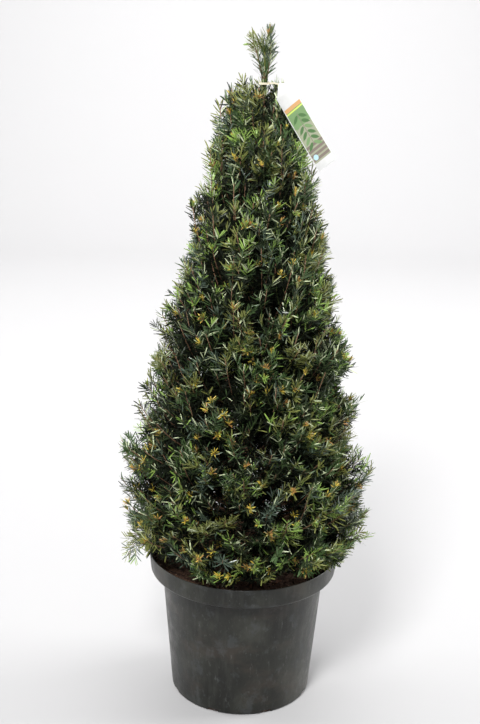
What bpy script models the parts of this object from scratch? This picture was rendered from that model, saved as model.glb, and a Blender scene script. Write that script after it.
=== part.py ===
"""A potted yew: a young yew grown as a cone, in a round nursery pot of compost, with a label on its leader.

Metres, +Z up. The origin is the centre of the pot's underside, and the label faces -Y.
The crown is dealt out in tiers of wedges round one upright trunk. Each wedge is the space of one bough and
of the mass of foliage that the bough carries, and nothing of that mass leaves it.
"""

import math
import random

import bmesh
import bpy
from mathutils import Matrix, Vector

UP = Vector((0, 0, 1))

# The clearance between two solids that touch on the real plant.
GAP = 0.0003

# The pot: a thin moulded wall under a wider collar.
POT_HEIGHT = 0.318
RIM_RADIUS = 0.200
COLLAR_HEIGHT = 0.045
SHOULDER_RADIUS = 0.1715
BASE_RADIUS = 0.1480
FOOT_CORNER = 0.006
COLLAR_CORNER = 0.0045
WALL = 0.0026
POT_SEGMENTS = 40
DRAIN_NOTCHES = 8
DRAIN_WIDTH = 0.024
DRAIN_DEPTH = 0.023
DRAIN_HEIGHT = 0.007

# The compost, and the trunk that stands in it.
SOIL_TOP = 0.290
SOIL_GAP = 0.00036
TRUNK_TOP = 1.238
TRUNK_FOOT_RADIUS = 0.013
TRUNK_TOP_RADIUS = 0.0042
TRUNK_SIDES = 10
TRUNK_RINGS = 11
TRUNK_SWAY = 0.0025
ROOT_FLARE = 0.009
ROOT_FLARE_HEIGHT = 0.022
ROOT_RIBS = 5
LEAN = 0.0165

# The crown's outline: widest low down, a rounded skirt below that and a nearly straight cone above it.
CROWN_RADIUS = 0.248
WIDEST_Z = 0.46
SKIRT_DEPTH = 0.30
SKIRT_ROUND = 2.4
CONE_HEIGHT = 1.08
CONE_ROUND = 1.15

# The surfaces between the tiers are cones: (height at the trunk's line, rise per metre outwards).
TIER_CONES = (
    (0.345, -0.25),
    (0.426, 0.30),
    (0.564, 0.45),
    (0.692, 0.65),
    (0.825, 0.90),
    (0.957, 1.20),
    (1.202, 2.00),
)
MASSES_IN_TIER = (6, 5, 5, 4, 3, 3)
SHOOTS_IN_MASS = (11, 10, 9, 9, 9, 8)
TIER_TURN = math.radians(22)
SPACE_MARGIN = 0.0030

# Boughs and cores. Their reach is a share of the crown's radius at their height.
BOUGH_END = 0.29
BOUGH_SAG = 0.004
BOUGH_RINGS = 4
BOUGH_SIDES = 6
BOUGH_RADII = (0.0062, 0.0056, 0.0050, 0.0044, 0.0036, 0.0028)
BOUGH_TIP_SHARE = 0.62
STEM_STRAIGHT = 0.012
STEM_END = 0.55
CORE_START = 0.36
CORE_END = 0.77
CORE_TURN = 0.955
CORE_LEVEL = 0.92
CORE_ROUNDING = (1.0, 1.0, 0.92, 0.78)
CORE_OVER_RIM = 0.008

# A shoot's twig, and the flat comb of needles that it carries.
SPRAY_LENGTH = 0.115
SPRAY_HALF_WIDTH = 0.034
SPRAY_THICKNESS = 0.0026
SPRAY_TEETH = 5
SPRAY_TRIES = 15
TWIG_RADIUS = 0.0018

# The leading shoot above the trunk: a bundle of stem and upright needles, then three short shoots.
LEADER_TOP = 1.350
LEADER_RADIUS = 0.0092
LEADER_SHOULDER = 0.022
LEADER_SIDES = 8
LEADER_NEEDLES = 26
NEEDLE_LENGTH = 0.030
NEEDLE_HALF_WIDTH = 0.0021
NEEDLE_HALF_THICKNESS = 0.0009
END_SHOOTS = (Vector((-0.014, -0.006, 1.394)), Vector((0.0245, 0.004, 1.408)), Vector((0.040, 0.012, 1.362)))
END_SHOOT_HALF_WIDTH = 0.016

# The plant label: one sheet of plastic, cut as a card and a strap that loops round the leader.
STRAP_Z = 1.296
STRAP_HEIGHT = 0.004
STRAP_THICKNESS = 0.0009
STRAP_SEGMENTS = 20
LABEL_NECK = Vector((0.045, -0.020, 1.299))
LABEL_FOOT = Vector((0.139, -0.096, 1.158))
LABEL_WIDTH = 0.045
LABEL_THICKNESS = 0.0009
LABEL_SHOULDER = 0.022
LABEL_CORNER = 0.004
LABEL_CLEARANCE = 0.006
CORE_LABEL_CLEARANCE = 0.016

SEED = 20


def material(name, colour, roughness):
    """A plain Principled material."""
    made = bpy.data.materials.new(name)
    made.use_nodes = True
    shader = made.node_tree.nodes["Principled BSDF"]
    shader.inputs["Base Color"].default_value = (*colour, 1.0)
    shader.inputs["Roughness"].default_value = roughness
    shader.inputs["Metallic"].default_value = 0.0
    made.diffuse_color = (*colour, 1.0)
    return made


def new_object(name, bm, finish=None, collection=None):
    """Turns a bmesh into a named object, with its faces pointing out."""
    mesh = bpy.data.meshes.new(name)
    bm.normal_update()
    bmesh.ops.recalc_face_normals(bm, faces=bm.faces)
    bm.to_mesh(mesh)
    bm.free()
    obj = bpy.data.objects.new(name, mesh)
    (collection or bpy.context.scene.collection).objects.link(obj)
    if finish:
        mesh.materials.append(finish)
    return obj


def cut_with(obj, cutter):
    """Takes the cutter's shape out of an object. The cutter is no part of the plant."""
    cutter.hide_render = True
    cutter.display_type = "WIRE"
    cut = obj.modifiers.new("cut", "BOOLEAN")
    cut.operation = "DIFFERENCE"
    cut.object = cutter


# ------------------------------------------------------------------------------------ the pot and compost


def turned(name, profile, finish):
    """A solid of revolution about Z. The profile is (radius, height) points, from the axis to the axis."""
    bm = bmesh.new()
    points = [bm.verts.new((radius, 0.0, height)) for radius, height in profile]
    edges = [bm.edges.new(pair) for pair in zip(points, points[1:])]
    geometry = points + edges
    bmesh.ops.spin(bm, geom=geometry, cent=(0, 0, 0), axis=UP, angle=math.tau, steps=POT_SEGMENTS)
    bmesh.ops.remove_doubles(bm, verts=bm.verts, dist=1e-5)
    return new_object(name, bm, finish)


def pot_outside():
    """The pot's outer profile, from under its middle to its rim."""
    shoulder = POT_HEIGHT - COLLAR_HEIGHT
    return [
        (0.0, 0.0),
        (BASE_RADIUS - FOOT_CORNER, 0.0),
        (BASE_RADIUS, FOOT_CORNER),
        (SHOULDER_RADIUS, shoulder),
        (RIM_RADIUS - 2 * COLLAR_CORNER, shoulder),
        (RIM_RADIUS - COLLAR_CORNER, shoulder + COLLAR_CORNER),
        (RIM_RADIUS, POT_HEIGHT),
    ]


def inset(profile, distance):
    """Moves a profile sideways by one distance, keeping its corners sharp. An end on the axis stays there."""
    moved = []
    for i, (radius, height) in enumerate(profile):
        normals = []
        for a, b in ((i - 1, i), (i, i + 1)):
            if a >= 0 and b < len(profile):
                along = (Vector(profile[b]) - Vector(profile[a])).normalized()
                normals.append(Vector((-along.y, along.x)))
        corner = sum(normals, Vector((0, 0))) / len(normals)
        shifted = Vector((radius, height)) + corner * distance / corner.length_squared
        moved.append((0.0 if radius == 0.0 else shifted.x, shifted.y))
    return moved


def level_end(profile, height):
    """Ends a profile at a height, on the line through its last two points."""
    (low_radius, low), (high_radius, high) = profile[-2:]
    share = (height - low) / (high - low)
    return profile[:-1] + [(low_radius + share * (high_radius - low_radius), height)]


def make_pot(finish):
    """The pot: its outer skin and the same profile one wall further in, with drain notches in its foot."""
    outside = pot_outside()
    inside = level_end(inset(outside, WALL), POT_HEIGHT)
    pot = turned("pot", outside + inside[::-1], finish)
    bm = bmesh.new()
    for i in range(DRAIN_NOTCHES):
        block = bmesh.ops.create_cube(bm, size=1.0)["verts"]
        bmesh.ops.scale(bm, vec=(2 * DRAIN_DEPTH, DRAIN_WIDTH, 2 * DRAIN_HEIGHT), verts=block)
        bmesh.ops.translate(bm, vec=(BASE_RADIUS, 0, 0), verts=block)
        turn = Matrix.Rotation(math.tau * (i + 0.5) / DRAIN_NOTCHES, 3, "Z")
        bmesh.ops.rotate(bm, cent=(0, 0, 0), matrix=turn, verts=block)
    cut_with(pot, new_object("drain_cutter", bm))


def make_soil(finish):
    """The compost, which fills the pot to a little under its rim."""
    inside = level_end(inset(pot_outside(), WALL + SOIL_GAP), SOIL_TOP)
    turned("soil", inside + [(0.0, SOIL_TOP)], finish)


# ------------------------------------------------------------------------------------------- round limbs


def add_tube(bm, points, radii, sides, level=False):
    """A tapering limb through the points, with flat ends. With level set, each ring lies flat.

    A radius may be a function of the turn round the limb.
    """
    rings = []
    side = Vector((1, 0, 0))
    for i, point in enumerate(points):
        before, after = points[max(i - 1, 0)], points[min(i + 1, len(points) - 1)]
        along = UP if level else (after - before).normalized()
        side = (side - along * side.dot(along)).normalized()
        other = along.cross(side)
        ring = []
        for k in range(sides):
            turn = math.tau * k / sides
            radius = radii[i](turn) if callable(radii[i]) else radii[i]
            ring.append(bm.verts.new(point + (side * math.cos(turn) + other * math.sin(turn)) * radius))
        rings.append(ring)
    for low, high in zip(rings, rings[1:]):
        for k in range(sides):
            following = (k + 1) % sides
            bm.faces.new((low[k], low[following], high[following], high[k]))
    bm.faces.new(rings[0][::-1])
    bm.faces.new(rings[-1])


def leaning(x, y, z):
    """A point of the upright plan, carried sideways with the plant's lean."""
    return Vector((x + LEAN * (z - SOIL_TOP), y, z))


def trunk_radius(height):
    """The trunk's radius without its root flare."""
    share = min(1.0, (height - SOIL_TOP) / (TRUNK_TOP - SOIL_TOP))
    return TRUNK_FOOT_RADIUS + (TRUNK_TOP_RADIUS - TRUNK_FOOT_RADIUS) * share


def flared(height, extra):
    """The trunk's radius as a function of the turn round it: low ribs run out into the root flare."""
    flare = ROOT_FLARE * math.exp(-(height - SOIL_TOP) / ROOT_FLARE_HEIGHT)
    return lambda turn: trunk_radius(height) + extra + flare * (1 + 0.35 * math.cos(ROOT_RIBS * turn))


def add_trunk(bm, extra):
    """The trunk from its flat foot to its tip. extra widens it, for the cutter of the boughs."""
    points, radii = [], []
    for i in range(TRUNK_RINGS):
        share = i / (TRUNK_RINGS - 1)
        height = SOIL_TOP + GAP + (TRUNK_TOP - SOIL_TOP - GAP) * share**1.5
        sway = TRUNK_SWAY * math.sin(8 * share)
        points.append(leaning(sway, -0.6 * sway, height))
        radii.append(flared(height, extra))
    add_tube(bm, points, radii, TRUNK_SIDES, level=True)


def make_trunk(finish):
    """The trunk: one leaning, tapering stem from the compost to the leader, with its root flare."""
    bm = bmesh.new()
    add_trunk(bm, 0.0)
    new_object("trunk", bm, finish)


def make_bough_cutter():
    """The trunk's space with the gap round it."""
    bm = bmesh.new()
    add_trunk(bm, GAP / math.cos(math.pi / TRUNK_SIDES))
    return new_object("bough_cutter", bm)


# ------------------------------------------------------------------------------------- the crown's spaces


def crown_radius(height):
    """How far the foliage reaches from the trunk's line at a height."""
    if height < WIDEST_Z:
        share = min(1.0, (WIDEST_Z - height) / SKIRT_DEPTH)
        return CROWN_RADIUS * (1 - share**SKIRT_ROUND) ** (1 / SKIRT_ROUND)
    share = min(1.0, (height - WIDEST_Z) / CONE_HEIGHT)
    return CROWN_RADIUS * (1 - share**CONE_ROUND)


class Space:
    """The wedge of one mass: between two cones, and between two upright planes through the trunk's line."""

    def __init__(self, tier, index):
        self.tier = tier
        self.half_turn = math.pi / MASSES_IN_TIER[tier]
        self.middle = TIER_TURN * tier + self.half_turn * (2 * index + 1)
        self.bough_level = 0.42 if index % 2 else 0.56
        self.name = f"tier_{tier + 1}_{'abcdef'[index]}"

    def floor(self, radius):
        height, rise = TIER_CONES[self.tier]
        return height + rise * radius

    def ceiling(self, radius):
        height, rise = TIER_CONES[self.tier + 1]
        return height + rise * radius

    def point(self, turn, level, radius):
        """The point at a radius, a turn (-1 to 1 across the wedge) and a level (0 at its floor to 1)."""
        angle = self.middle + turn * self.half_turn
        height = self.floor(radius) * (1 - level) + self.ceiling(radius) * level
        return leaning(radius * math.cos(angle), radius * math.sin(angle), height)

    def surface(self, turn, level, share):
        """The point at a share of the crown's radius, which depends on the height reached."""
        radius = 0.1
        for _ in range(5):
            radius = share * crown_radius(self.point(turn, level, radius).z)
        return self.point(turn, level, radius)

    def polar(self, point):
        """A point's radius from the trunk's line, and its angle from the wedge's middle."""
        x = point.x - LEAN * (point.z - SOIL_TOP)
        angle = (math.atan2(point.y, x) - self.middle + math.pi) % math.tau - math.pi
        return math.hypot(x, point.y), angle

    def in_core(self, point):
        """True if the point lies well inside the mass's core."""
        radius, angle = self.polar(point)
        level = (point.z - self.floor(radius)) / (self.ceiling(radius) - self.floor(radius))
        share = radius / crown_radius(point.z)
        well_across = abs(angle) < 0.78 * CORE_TURN * self.half_turn
        well_up = abs(level - 0.5) < 0.36 * CORE_LEVEL
        well_out = CORE_START + 0.06 < share < CORE_END - 0.05
        return well_across and well_up and well_out and point.z < TRUNK_TOP

    def holds(self, point):
        """True if the point keeps its margin to the wedge's sides and to the trunk, pot and label."""
        radius, angle = self.polar(point)
        beside = radius * math.sin(min(self.half_turn - abs(angle), math.pi / 2))
        below = self.ceiling(radius) - point.z
        above = point.z - self.floor(radius)
        from_trunk = radius - trunk_radius(point.z) - 2 * TRUNK_SWAY
        clear = min(beside, below, above, from_trunk) > SPACE_MARGIN
        return clear and clear_of_pot(point) and clear_of_label(point)


def every_space():
    """The spaces of all the masses but the leader, from the lowest tier up."""
    return [Space(tier, index) for tier, count in enumerate(MASSES_IN_TIER) for index in range(count)]


def clear_of_pot(point):
    """True above the compost inside the rim, above the rim itself, and outside the pot."""
    radius = math.hypot(point.x, point.y)
    lowest = SOIL_TOP if radius < RIM_RADIUS - 0.012 else POT_HEIGHT
    return radius > RIM_RADIUS + 0.006 or point.z > lowest + 0.004


def label_axes():
    """The card's axes: down its length, across its width, and out of its face."""
    down = (LABEL_FOOT - LABEL_NECK).normalized()
    across = Vector((0, -1, 0)).cross(down).normalized()
    return down, across, down.cross(across).normalized()


def clear_of_label(point, clearance=LABEL_CLEARANCE):
    """True away from the card, from the strap's loop and from the strap between them."""
    down, across, out = label_axes()
    offset = point - LABEL_NECK
    beyond = max(-offset.dot(down), offset.dot(down) - (LABEL_FOOT - LABEL_NECK).length)
    aside = abs(offset.dot(across)) - LABEL_WIDTH / 2
    from_card = max(beyond, aside, abs(offset.dot(out)))
    loop = leaning(0, 0, STRAP_Z)
    strap = LABEL_NECK - loop
    share = min(max((point - loop).dot(strap) / strap.length_squared, 0.0), 1.0)
    from_strap = (point - loop - strap * share).length
    from_loop = (point - loop).length - LEADER_RADIUS
    return min(from_card, from_strap, from_loop) > clearance


# ------------------------------------------------------------------------------------------------ boughs


def bough_points(space):
    """The bough's line: from the trunk's line outwards and up, sagging a little on its way."""
    points = []
    for i in range(BOUGH_RINGS):
        share = i / (BOUGH_RINGS - 1)
        point = space.surface(0.0, space.bough_level, max(BOUGH_END * share, 0.001))
        points.append(point - UP * BOUGH_SAG * math.sin(math.pi * share))
    return points


def make_bough(space, cutter, finish):
    """One tapering limb, cut off at the trunk's bark."""
    radius = BOUGH_RADII[space.tier]
    taper = (1 - BOUGH_TIP_SHARE) / (BOUGH_RINGS - 1)
    bm = bmesh.new()
    add_tube(bm, bough_points(space), [radius * (1 - taper * i) for i in range(BOUGH_RINGS)], BOUGH_SIDES)
    bough = new_object(f"bough_{space.name}", bm, finish)
    cut_with(bough, cutter)


# ------------------------------------------------------------------------------------ masses of foliage


def spray_outline(first_side):
    """A comb of needles seen flat: (0, 0) at its root, (1, 0) at its tip, and teeth out to 1 either side.

    The teeth take turns left and right and are swept forwards.
    """
    pitch = 0.62 / SPRAY_TEETH
    sides = {1: [], -1: []}
    for i in range(SPRAY_TEETH):
        side = first_side if i % 2 == 0 else -first_side
        start = 0.14 + pitch * i
        reach = 1.0 - 0.45 * abs(i / (SPRAY_TEETH - 1) - 0.4)
        sides[side] += [(start, side * 0.10), (start + 2.4 * pitch, side * reach)]
    return [(0.0, -0.08)] + sides[-1] + [(1.0, 0.0)] + sides[1][::-1] + [(0.0, 0.08)]


def add_spray(bm, root, tip, face, half_width, first_side):
    """A comb of needles: its flat outline with a ridge along its middle, which stands up towards face."""
    along = (tip - root).normalized()
    across = face.cross(along).normalized()
    face = along.cross(across)
    length = (tip - root).length
    outline = spray_outline(first_side)
    rim = [bm.verts.new(root + along * (x * length) + across * (y * half_width)) for x, y in outline]
    low, high = (bm.verts.new(root + along * (x * length) + face * SPRAY_THICKNESS) for x in (0.30, 0.62))
    bm.faces.new(rim[::-1])
    tops = [low if min(a[0], b[0]) < 0.45 else high for a, b in zip(outline, outline[1:])] + [low]
    for i, top in enumerate(tops):
        following = (i + 1) % len(rim)
        bm.faces.new((rim[i], rim[following], top))
        if top is not tops[following]:
            bm.faces.new((top, rim[following], tops[following]))
    return [vertex.co.copy() for vertex in rim]


def spread_over(corners):
    """Points all along the outline through the corners, and as many half-way in from it."""
    middle = sum(corners, Vector()) / len(corners)
    sides = zip(corners, corners[1:] + corners[:1])
    edge = [start.lerp(end, share) for start, end in sides for share in (0, 0.25, 0.5, 0.75)]
    return edge + [point.lerp(middle, 0.5) for point in edge]


def spray_that_fits(name, pieces, space, tip, along, face, side):
    """Adds a spray if it keeps to its space. Gives its root, or None.

    It is tried smaller and smaller, and each time also rising more steeply and less.
    """
    for attempt in range(SPRAY_TRIES):
        scale = 1 - 0.04 * attempt
        root = tip - (along + UP * (0.0, -0.4, 0.4)[attempt % 3]).normalized() * SPRAY_LENGTH * scale
        bm = bmesh.new()
        corners = add_spray(bm, root, tip, face, SPRAY_HALF_WIDTH * scale, side)
        if all(space.holds(point) or space.in_core(point) for point in spread_over(corners)):
            new_object(name, bm, collection=pieces)
            return root
        bm.free()
    return None


def add_core(bm, space, rng):
    """The dense inner part of a mass: a block of its wedge with its edges and corners rounded off.

    It keeps above the pot's rim and below the trunk's tip.
    """
    bmesh.ops.create_cube(bm, size=2.0)
    bmesh.ops.subdivide_edges(bm, edges=bm.edges, cuts=1, use_grid_fill=True)
    for vertex in bm.verts:
        rounding = CORE_ROUNDING[sum(abs(x) > 0.5 for x in vertex.co)]
        across, up, out = vertex.co * rounding * rng.uniform(0.96, 1.02)
        share = CORE_START + (CORE_END - CORE_START) * (out + 1) / 2
        level = 0.5 + 0.5 * CORE_LEVEL * up
        point = space.surface(CORE_TURN * across, level, share)
        while not clear_of_label(point, CORE_LABEL_CLEARANCE):
            share -= 0.05
            point = space.surface(CORE_TURN * across, level, share)
        vertex.co = (point.x, point.y, min(max(point.z, POT_HEIGHT + CORE_OVER_RIM), TRUNK_TOP))


def grow_shoots(space, pieces, rng):
    """Shoots that spread evenly over the wedge's outer face, each with a spray, and a twig where it shows."""
    for i in range(SHOOTS_IN_MASS[space.tier]):
        turn = 1.64 * ((0.5 + 0.755 * i + 0.1 * rng.random()) % 1.0) - 0.82
        level = 0.10 + 0.82 * ((0.37 + 0.57 * i + 0.1 * rng.random()) % 1.0)
        tip = space.surface(turn, level, rng.uniform(0.99, 1.07))
        inner = space.surface(turn * 0.8, level, 0.5)
        outwards = (tip - inner).normalized()
        sideways = outwards.cross(UP).normalized()
        along = (outwards + sideways * rng.uniform(-0.3, 0.3) + UP * rng.uniform(0.05, 0.45)).normalized()
        side = 1 if i % 2 else -1
        roll = side * rng.uniform(0.3, 0.9)
        face = sideways.cross(along) * math.cos(roll) + sideways * math.sin(roll)
        root = spray_that_fits(f"spray_{i}", pieces, space, tip, along, face, side)
        if root and not space.in_core(root):
            bm = bmesh.new()
            add_tube(bm, [inner, root.lerp(tip, 0.4)], [1.3 * TWIG_RADIUS, 0.6 * TWIG_RADIUS], 3)
            new_object(f"twig_{i}", bm, collection=pieces)


def add_stem(bm, space):
    """The mass's stem: it carries on from the bough's tip, one gap clear of it, into the core."""
    points = bough_points(space)
    forward = (points[-1] - points[-2]).normalized()
    start = points[-1] + forward * GAP
    radius = BOUGH_RADII[space.tier] * BOUGH_TIP_SHARE
    line = [start, start + forward * STEM_STRAIGHT, space.surface(0.0, space.bough_level, STEM_END)]
    add_tube(bm, line, [radius, 0.95 * radius, 0.6 * radius], BOUGH_SIDES)


def largest_piece(bm):
    """The vertices of the largest closed piece of a mesh."""
    left, pieces = set(bm.verts), []
    while left:
        piece, reached = set(), [left.pop()]
        while reached:
            vertex = reached.pop()
            piece.add(vertex)
            new = {edge.other_vert(vertex) for edge in vertex.link_edges} & left
            left -= new
            reached += new
        pieces.append(piece)
    return max(pieces, key=len)


def fuse(obj, pieces):
    """One Boolean union of an object with all the pieces, applied. A loose scrap is dropped."""
    union = obj.modifiers.new("fuse", "BOOLEAN")
    union.operation = "UNION"
    union.operand_type = "COLLECTION"
    union.collection = pieces
    union.solver = "MANIFOLD"
    bpy.context.view_layer.update()
    fused = bpy.data.meshes.new_from_object(obj.evaluated_get(bpy.context.evaluated_depsgraph_get()))
    obj.modifiers.clear()
    bm = bmesh.new()
    bm.from_mesh(fused)
    kept = largest_piece(bm)
    bmesh.ops.delete(bm, geom=[vertex for vertex in bm.verts if vertex not in kept], context="VERTS")
    bm.to_mesh(obj.data)
    bm.free()
    bpy.data.meshes.remove(fused)
    for piece in list(pieces.objects):
        bpy.data.objects.remove(piece)


def make_mass(space, pieces, finish):
    """A mass of foliage: its core, its stem, and the shoots that stand out of them."""
    rng = random.Random(f"{SEED} {space.name}")
    bm = bmesh.new()
    add_core(bm, space, rng)
    mass = new_object(f"foliage_{space.name}", bm, finish)
    bm = bmesh.new()
    add_stem(bm, space)
    new_object("stem", bm, collection=pieces)
    grow_shoots(space, pieces, rng)
    fuse(mass, pieces)


# --------------------------------------------------------------------------------------- the leading shoot


def add_needle(bm, root, along, side):
    """One needle, larger than life: a long slim body with four flat sides."""
    face = along.cross(side)
    middle = root + along * NEEDLE_LENGTH * 0.4
    wide, thick = side * NEEDLE_HALF_WIDTH, face * NEEDLE_HALF_THICKNESS
    waist = [bm.verts.new(middle + offset) for offset in (wide, thick, -wide, -thick)]
    for end in (bm.verts.new(root), bm.verts.new(root + along * NEEDLE_LENGTH)):
        for i in range(4):
            bm.faces.new((end, waist[i], waist[(i + 1) % 4]))


def add_leader_core(bm):
    """The leader's bundle, which grows on from the trunk's tip, one gap clear of it."""
    heights = (TRUNK_TOP + GAP, TRUNK_TOP + LEADER_SHOULDER, STRAP_Z + 0.01, LEADER_TOP)
    radii = (TRUNK_TOP_RADIUS, LEADER_RADIUS, LEADER_RADIUS, TRUNK_TOP_RADIUS)
    add_tube(bm, [leaning(0, 0, height) for height in heights], radii, LEADER_SIDES, level=True)


def make_leader(pieces, finish):
    """The leading shoot: a slim bundle that needles stand out of, ending in three short shoots."""
    rng = random.Random(SEED)
    bm = bmesh.new()
    add_leader_core(bm)
    leader = new_object("foliage_leader", bm, finish)
    lowest = TRUNK_TOP + LEADER_SHOULDER
    for i in range(LEADER_NEEDLES):
        turn = 2.4 * i
        outwards = Vector((math.cos(turn), math.sin(turn), 0))
        along = (outwards + UP * rng.uniform(1.1, 1.7)).normalized()
        root = leaning(0, 0, lowest + (LEADER_TOP - 0.008 - lowest) * (i + 0.5) / LEADER_NEEDLES)
        if all(clear_of_label(root + along * NEEDLE_LENGTH * share) for share in (0.5, 0.75, 1.0)):
            bm = bmesh.new()
            add_needle(bm, root + outwards * 0.002, along, outwards.cross(UP))
            new_object(f"needle_{i}", bm, collection=pieces)
    start = leaning(0, 0, LEADER_TOP - 0.012)
    for i, end in enumerate(END_SHOOTS):
        bm = bmesh.new()
        face = Vector((0.2 * (i - 1), -1, 0.15 * (i - 1)))
        add_spray(bm, start, end, face, END_SHOOT_HALF_WIDTH, 1 - 2 * (i % 2))
        new_object(f"end_shoot_{i}", bm, collection=pieces)
    fuse(leader, pieces)


# ------------------------------------------------------------------------------------------------- label


def card_outline():
    """The card from its neck down, as (down, across): sloping shoulders and rounded lower corners."""
    length, half = (LABEL_FOOT - LABEL_NECK).length, LABEL_WIDTH / 2
    outline = [(0.0, -STRAP_HEIGHT / 2), (LABEL_SHOULDER, -half)]
    for side, start in ((-1, -90), (1, 0)):
        for turn in (math.radians(start + 45 * step) for step in range(3)):
            down = length - LABEL_CORNER + LABEL_CORNER * math.cos(turn)
            outline.append((down, side * (half - LABEL_CORNER) + LABEL_CORNER * math.sin(turn)))
    return outline + [(LABEL_SHOULDER, half), (0.0, STRAP_HEIGHT / 2)]


def add_card(bm):
    """The card: its outline, given its thickness."""
    down, across, out = label_axes()
    card = bm.faces.new([bm.verts.new(LABEL_NECK + down * x + across * y) for x, y in card_outline()])
    lifted = bmesh.ops.extrude_face_region(bm, geom=[card])["geom"]
    corners = [item for item in lifted if isinstance(item, bmesh.types.BMVert)]
    bmesh.ops.translate(bm, vec=out * LABEL_THICKNESS, verts=corners)


def add_loop(bm, inner, centre):
    """The strap's loop: a flat band round the leader."""
    outer = inner + STRAP_THICKNESS
    rings = []
    for radius, height in ((inner, -1), (outer, -1), (outer, 1), (inner, 1)):
        ring = []
        for k in range(STRAP_SEGMENTS):
            turn = math.tau * k / STRAP_SEGMENTS
            offset = Vector((radius * math.cos(turn), radius * math.sin(turn), height * STRAP_HEIGHT / 2))
            ring.append(bm.verts.new(centre + offset))
        rings.append(ring)
    for a, b in zip(rings, rings[1:] + rings[:1]):
        for k in range(STRAP_SEGMENTS):
            following = (k + 1) % STRAP_SEGMENTS
            bm.faces.new((a[k], a[following], b[following], b[k]))


def add_strap(bm, start, end, along):
    """The strap between the loop and the card: a flat strip on edge."""
    thick = along.cross(UP) * STRAP_THICKNESS / 2
    tall = UP * (STRAP_HEIGHT / 2 - GAP)
    ends = []
    for point in (start, end):
        corners = (thick + tall, thick - tall, -thick - tall, -thick + tall)
        ends.append([bm.verts.new(point + corner) for corner in corners])
    for k in range(4):
        following = (k + 1) % 4
        bm.faces.new((ends[0][k], ends[0][following], ends[1][following], ends[1][k]))
    bm.faces.new(ends[0][::-1])
    bm.faces.new(ends[1])


def make_label(pieces, finish):
    """The label: a card, and a strap that runs from its neck round the leader."""
    down, _, out = label_axes()
    bm = bmesh.new()
    add_card(bm)
    label = new_object("label", bm, finish)
    centre = leaning(0, 0, STRAP_Z)
    inner = (LEADER_RADIUS + GAP) / math.cos(math.pi / STRAP_SEGMENTS)
    bm = bmesh.new()
    add_loop(bm, inner, centre)
    new_object("loop", bm, collection=pieces)
    end = LABEL_NECK + down * LABEL_CLEARANCE + out * LABEL_THICKNESS / 2
    along = Vector((end.x - centre.x, end.y - centre.y, 0)).normalized()
    bm = bmesh.new()
    add_strap(bm, centre + along * (inner + STRAP_THICKNESS / 2), end, along)
    new_object("strap", bm, collection=pieces)
    fuse(label, pieces)


def main():
    for obj in list(bpy.data.objects):
        bpy.data.objects.remove(obj)
    plastic = material("pot_plastic", (0.045, 0.047, 0.045), 0.45)
    compost = material("compost", (0.035, 0.020, 0.014), 0.95)
    bark = material("bark", (0.16, 0.085, 0.055), 0.85)
    needles = material("yew_needles", (0.030, 0.070, 0.025), 0.45)
    card = material("label_card", (0.86, 0.86, 0.83), 0.40)
    pieces = bpy.data.collections.new("pieces_to_fuse")
    bpy.context.scene.collection.children.link(pieces)
    make_pot(plastic)
    make_soil(compost)
    make_trunk(bark)
    cutter = make_bough_cutter()
    for space in every_space():
        make_bough(space, cutter, bark)
        make_mass(space, pieces, needles)
    make_leader(pieces, needles)
    make_label(pieces, card)


main()
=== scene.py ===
# %% [markdown]
# # A potted yew
# This lesson dresses a plain solid model of a young yew. The plant is grown as a cone and stands in a round
# nursery pot, with a plastic label tied to its leading shoot. The solid model fixes every size, and the
# pieces made here give it bark, twigs, needles, compost and moulded plastic. The first cell loads the
# solids. Their box is measured at once, because the finished plant has to keep to it.

# %% Load the solids
import math
import random

import bpy
import numpy as np
from mathutils import Matrix, Vector


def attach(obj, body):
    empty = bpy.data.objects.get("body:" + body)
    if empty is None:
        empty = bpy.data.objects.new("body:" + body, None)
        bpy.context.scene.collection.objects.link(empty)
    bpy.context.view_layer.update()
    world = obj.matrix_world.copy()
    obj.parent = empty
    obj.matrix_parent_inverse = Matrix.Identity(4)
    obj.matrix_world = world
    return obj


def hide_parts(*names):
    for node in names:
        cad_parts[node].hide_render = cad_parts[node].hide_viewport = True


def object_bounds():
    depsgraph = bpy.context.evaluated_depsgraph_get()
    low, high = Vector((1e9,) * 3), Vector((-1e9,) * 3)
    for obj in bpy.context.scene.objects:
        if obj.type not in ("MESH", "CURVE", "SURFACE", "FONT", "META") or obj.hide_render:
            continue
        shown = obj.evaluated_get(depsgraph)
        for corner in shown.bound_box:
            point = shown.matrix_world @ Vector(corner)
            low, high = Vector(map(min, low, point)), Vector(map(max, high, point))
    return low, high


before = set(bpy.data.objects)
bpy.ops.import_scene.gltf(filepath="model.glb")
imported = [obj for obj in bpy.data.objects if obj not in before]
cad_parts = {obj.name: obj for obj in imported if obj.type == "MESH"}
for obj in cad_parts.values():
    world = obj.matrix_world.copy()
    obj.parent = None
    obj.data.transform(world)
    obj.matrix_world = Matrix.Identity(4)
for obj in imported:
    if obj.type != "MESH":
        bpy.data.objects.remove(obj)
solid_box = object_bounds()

print("solids:", len(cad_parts), "from", tuple(solid_box[0]), "to", tuple(solid_box[1]))

# %% [markdown]
# ## Camera
# The camera stands a little above the plant's middle and looks down on it, so that the rim of the pot shows
# as an ellipse with compost inside. A long lens keeps the cone's sides straight. The camera is rolled a
# trifle about its own line of sight, so that the whole plant seems to lean a little, as a real one does.

# %% Camera
CAMERA_PLACE = Vector((-0.0168, -2.709, 1.629))
LOOK_DOWN = math.radians(18.3)
ROLL = math.radians(1.4)
LENS = 69.6

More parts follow.
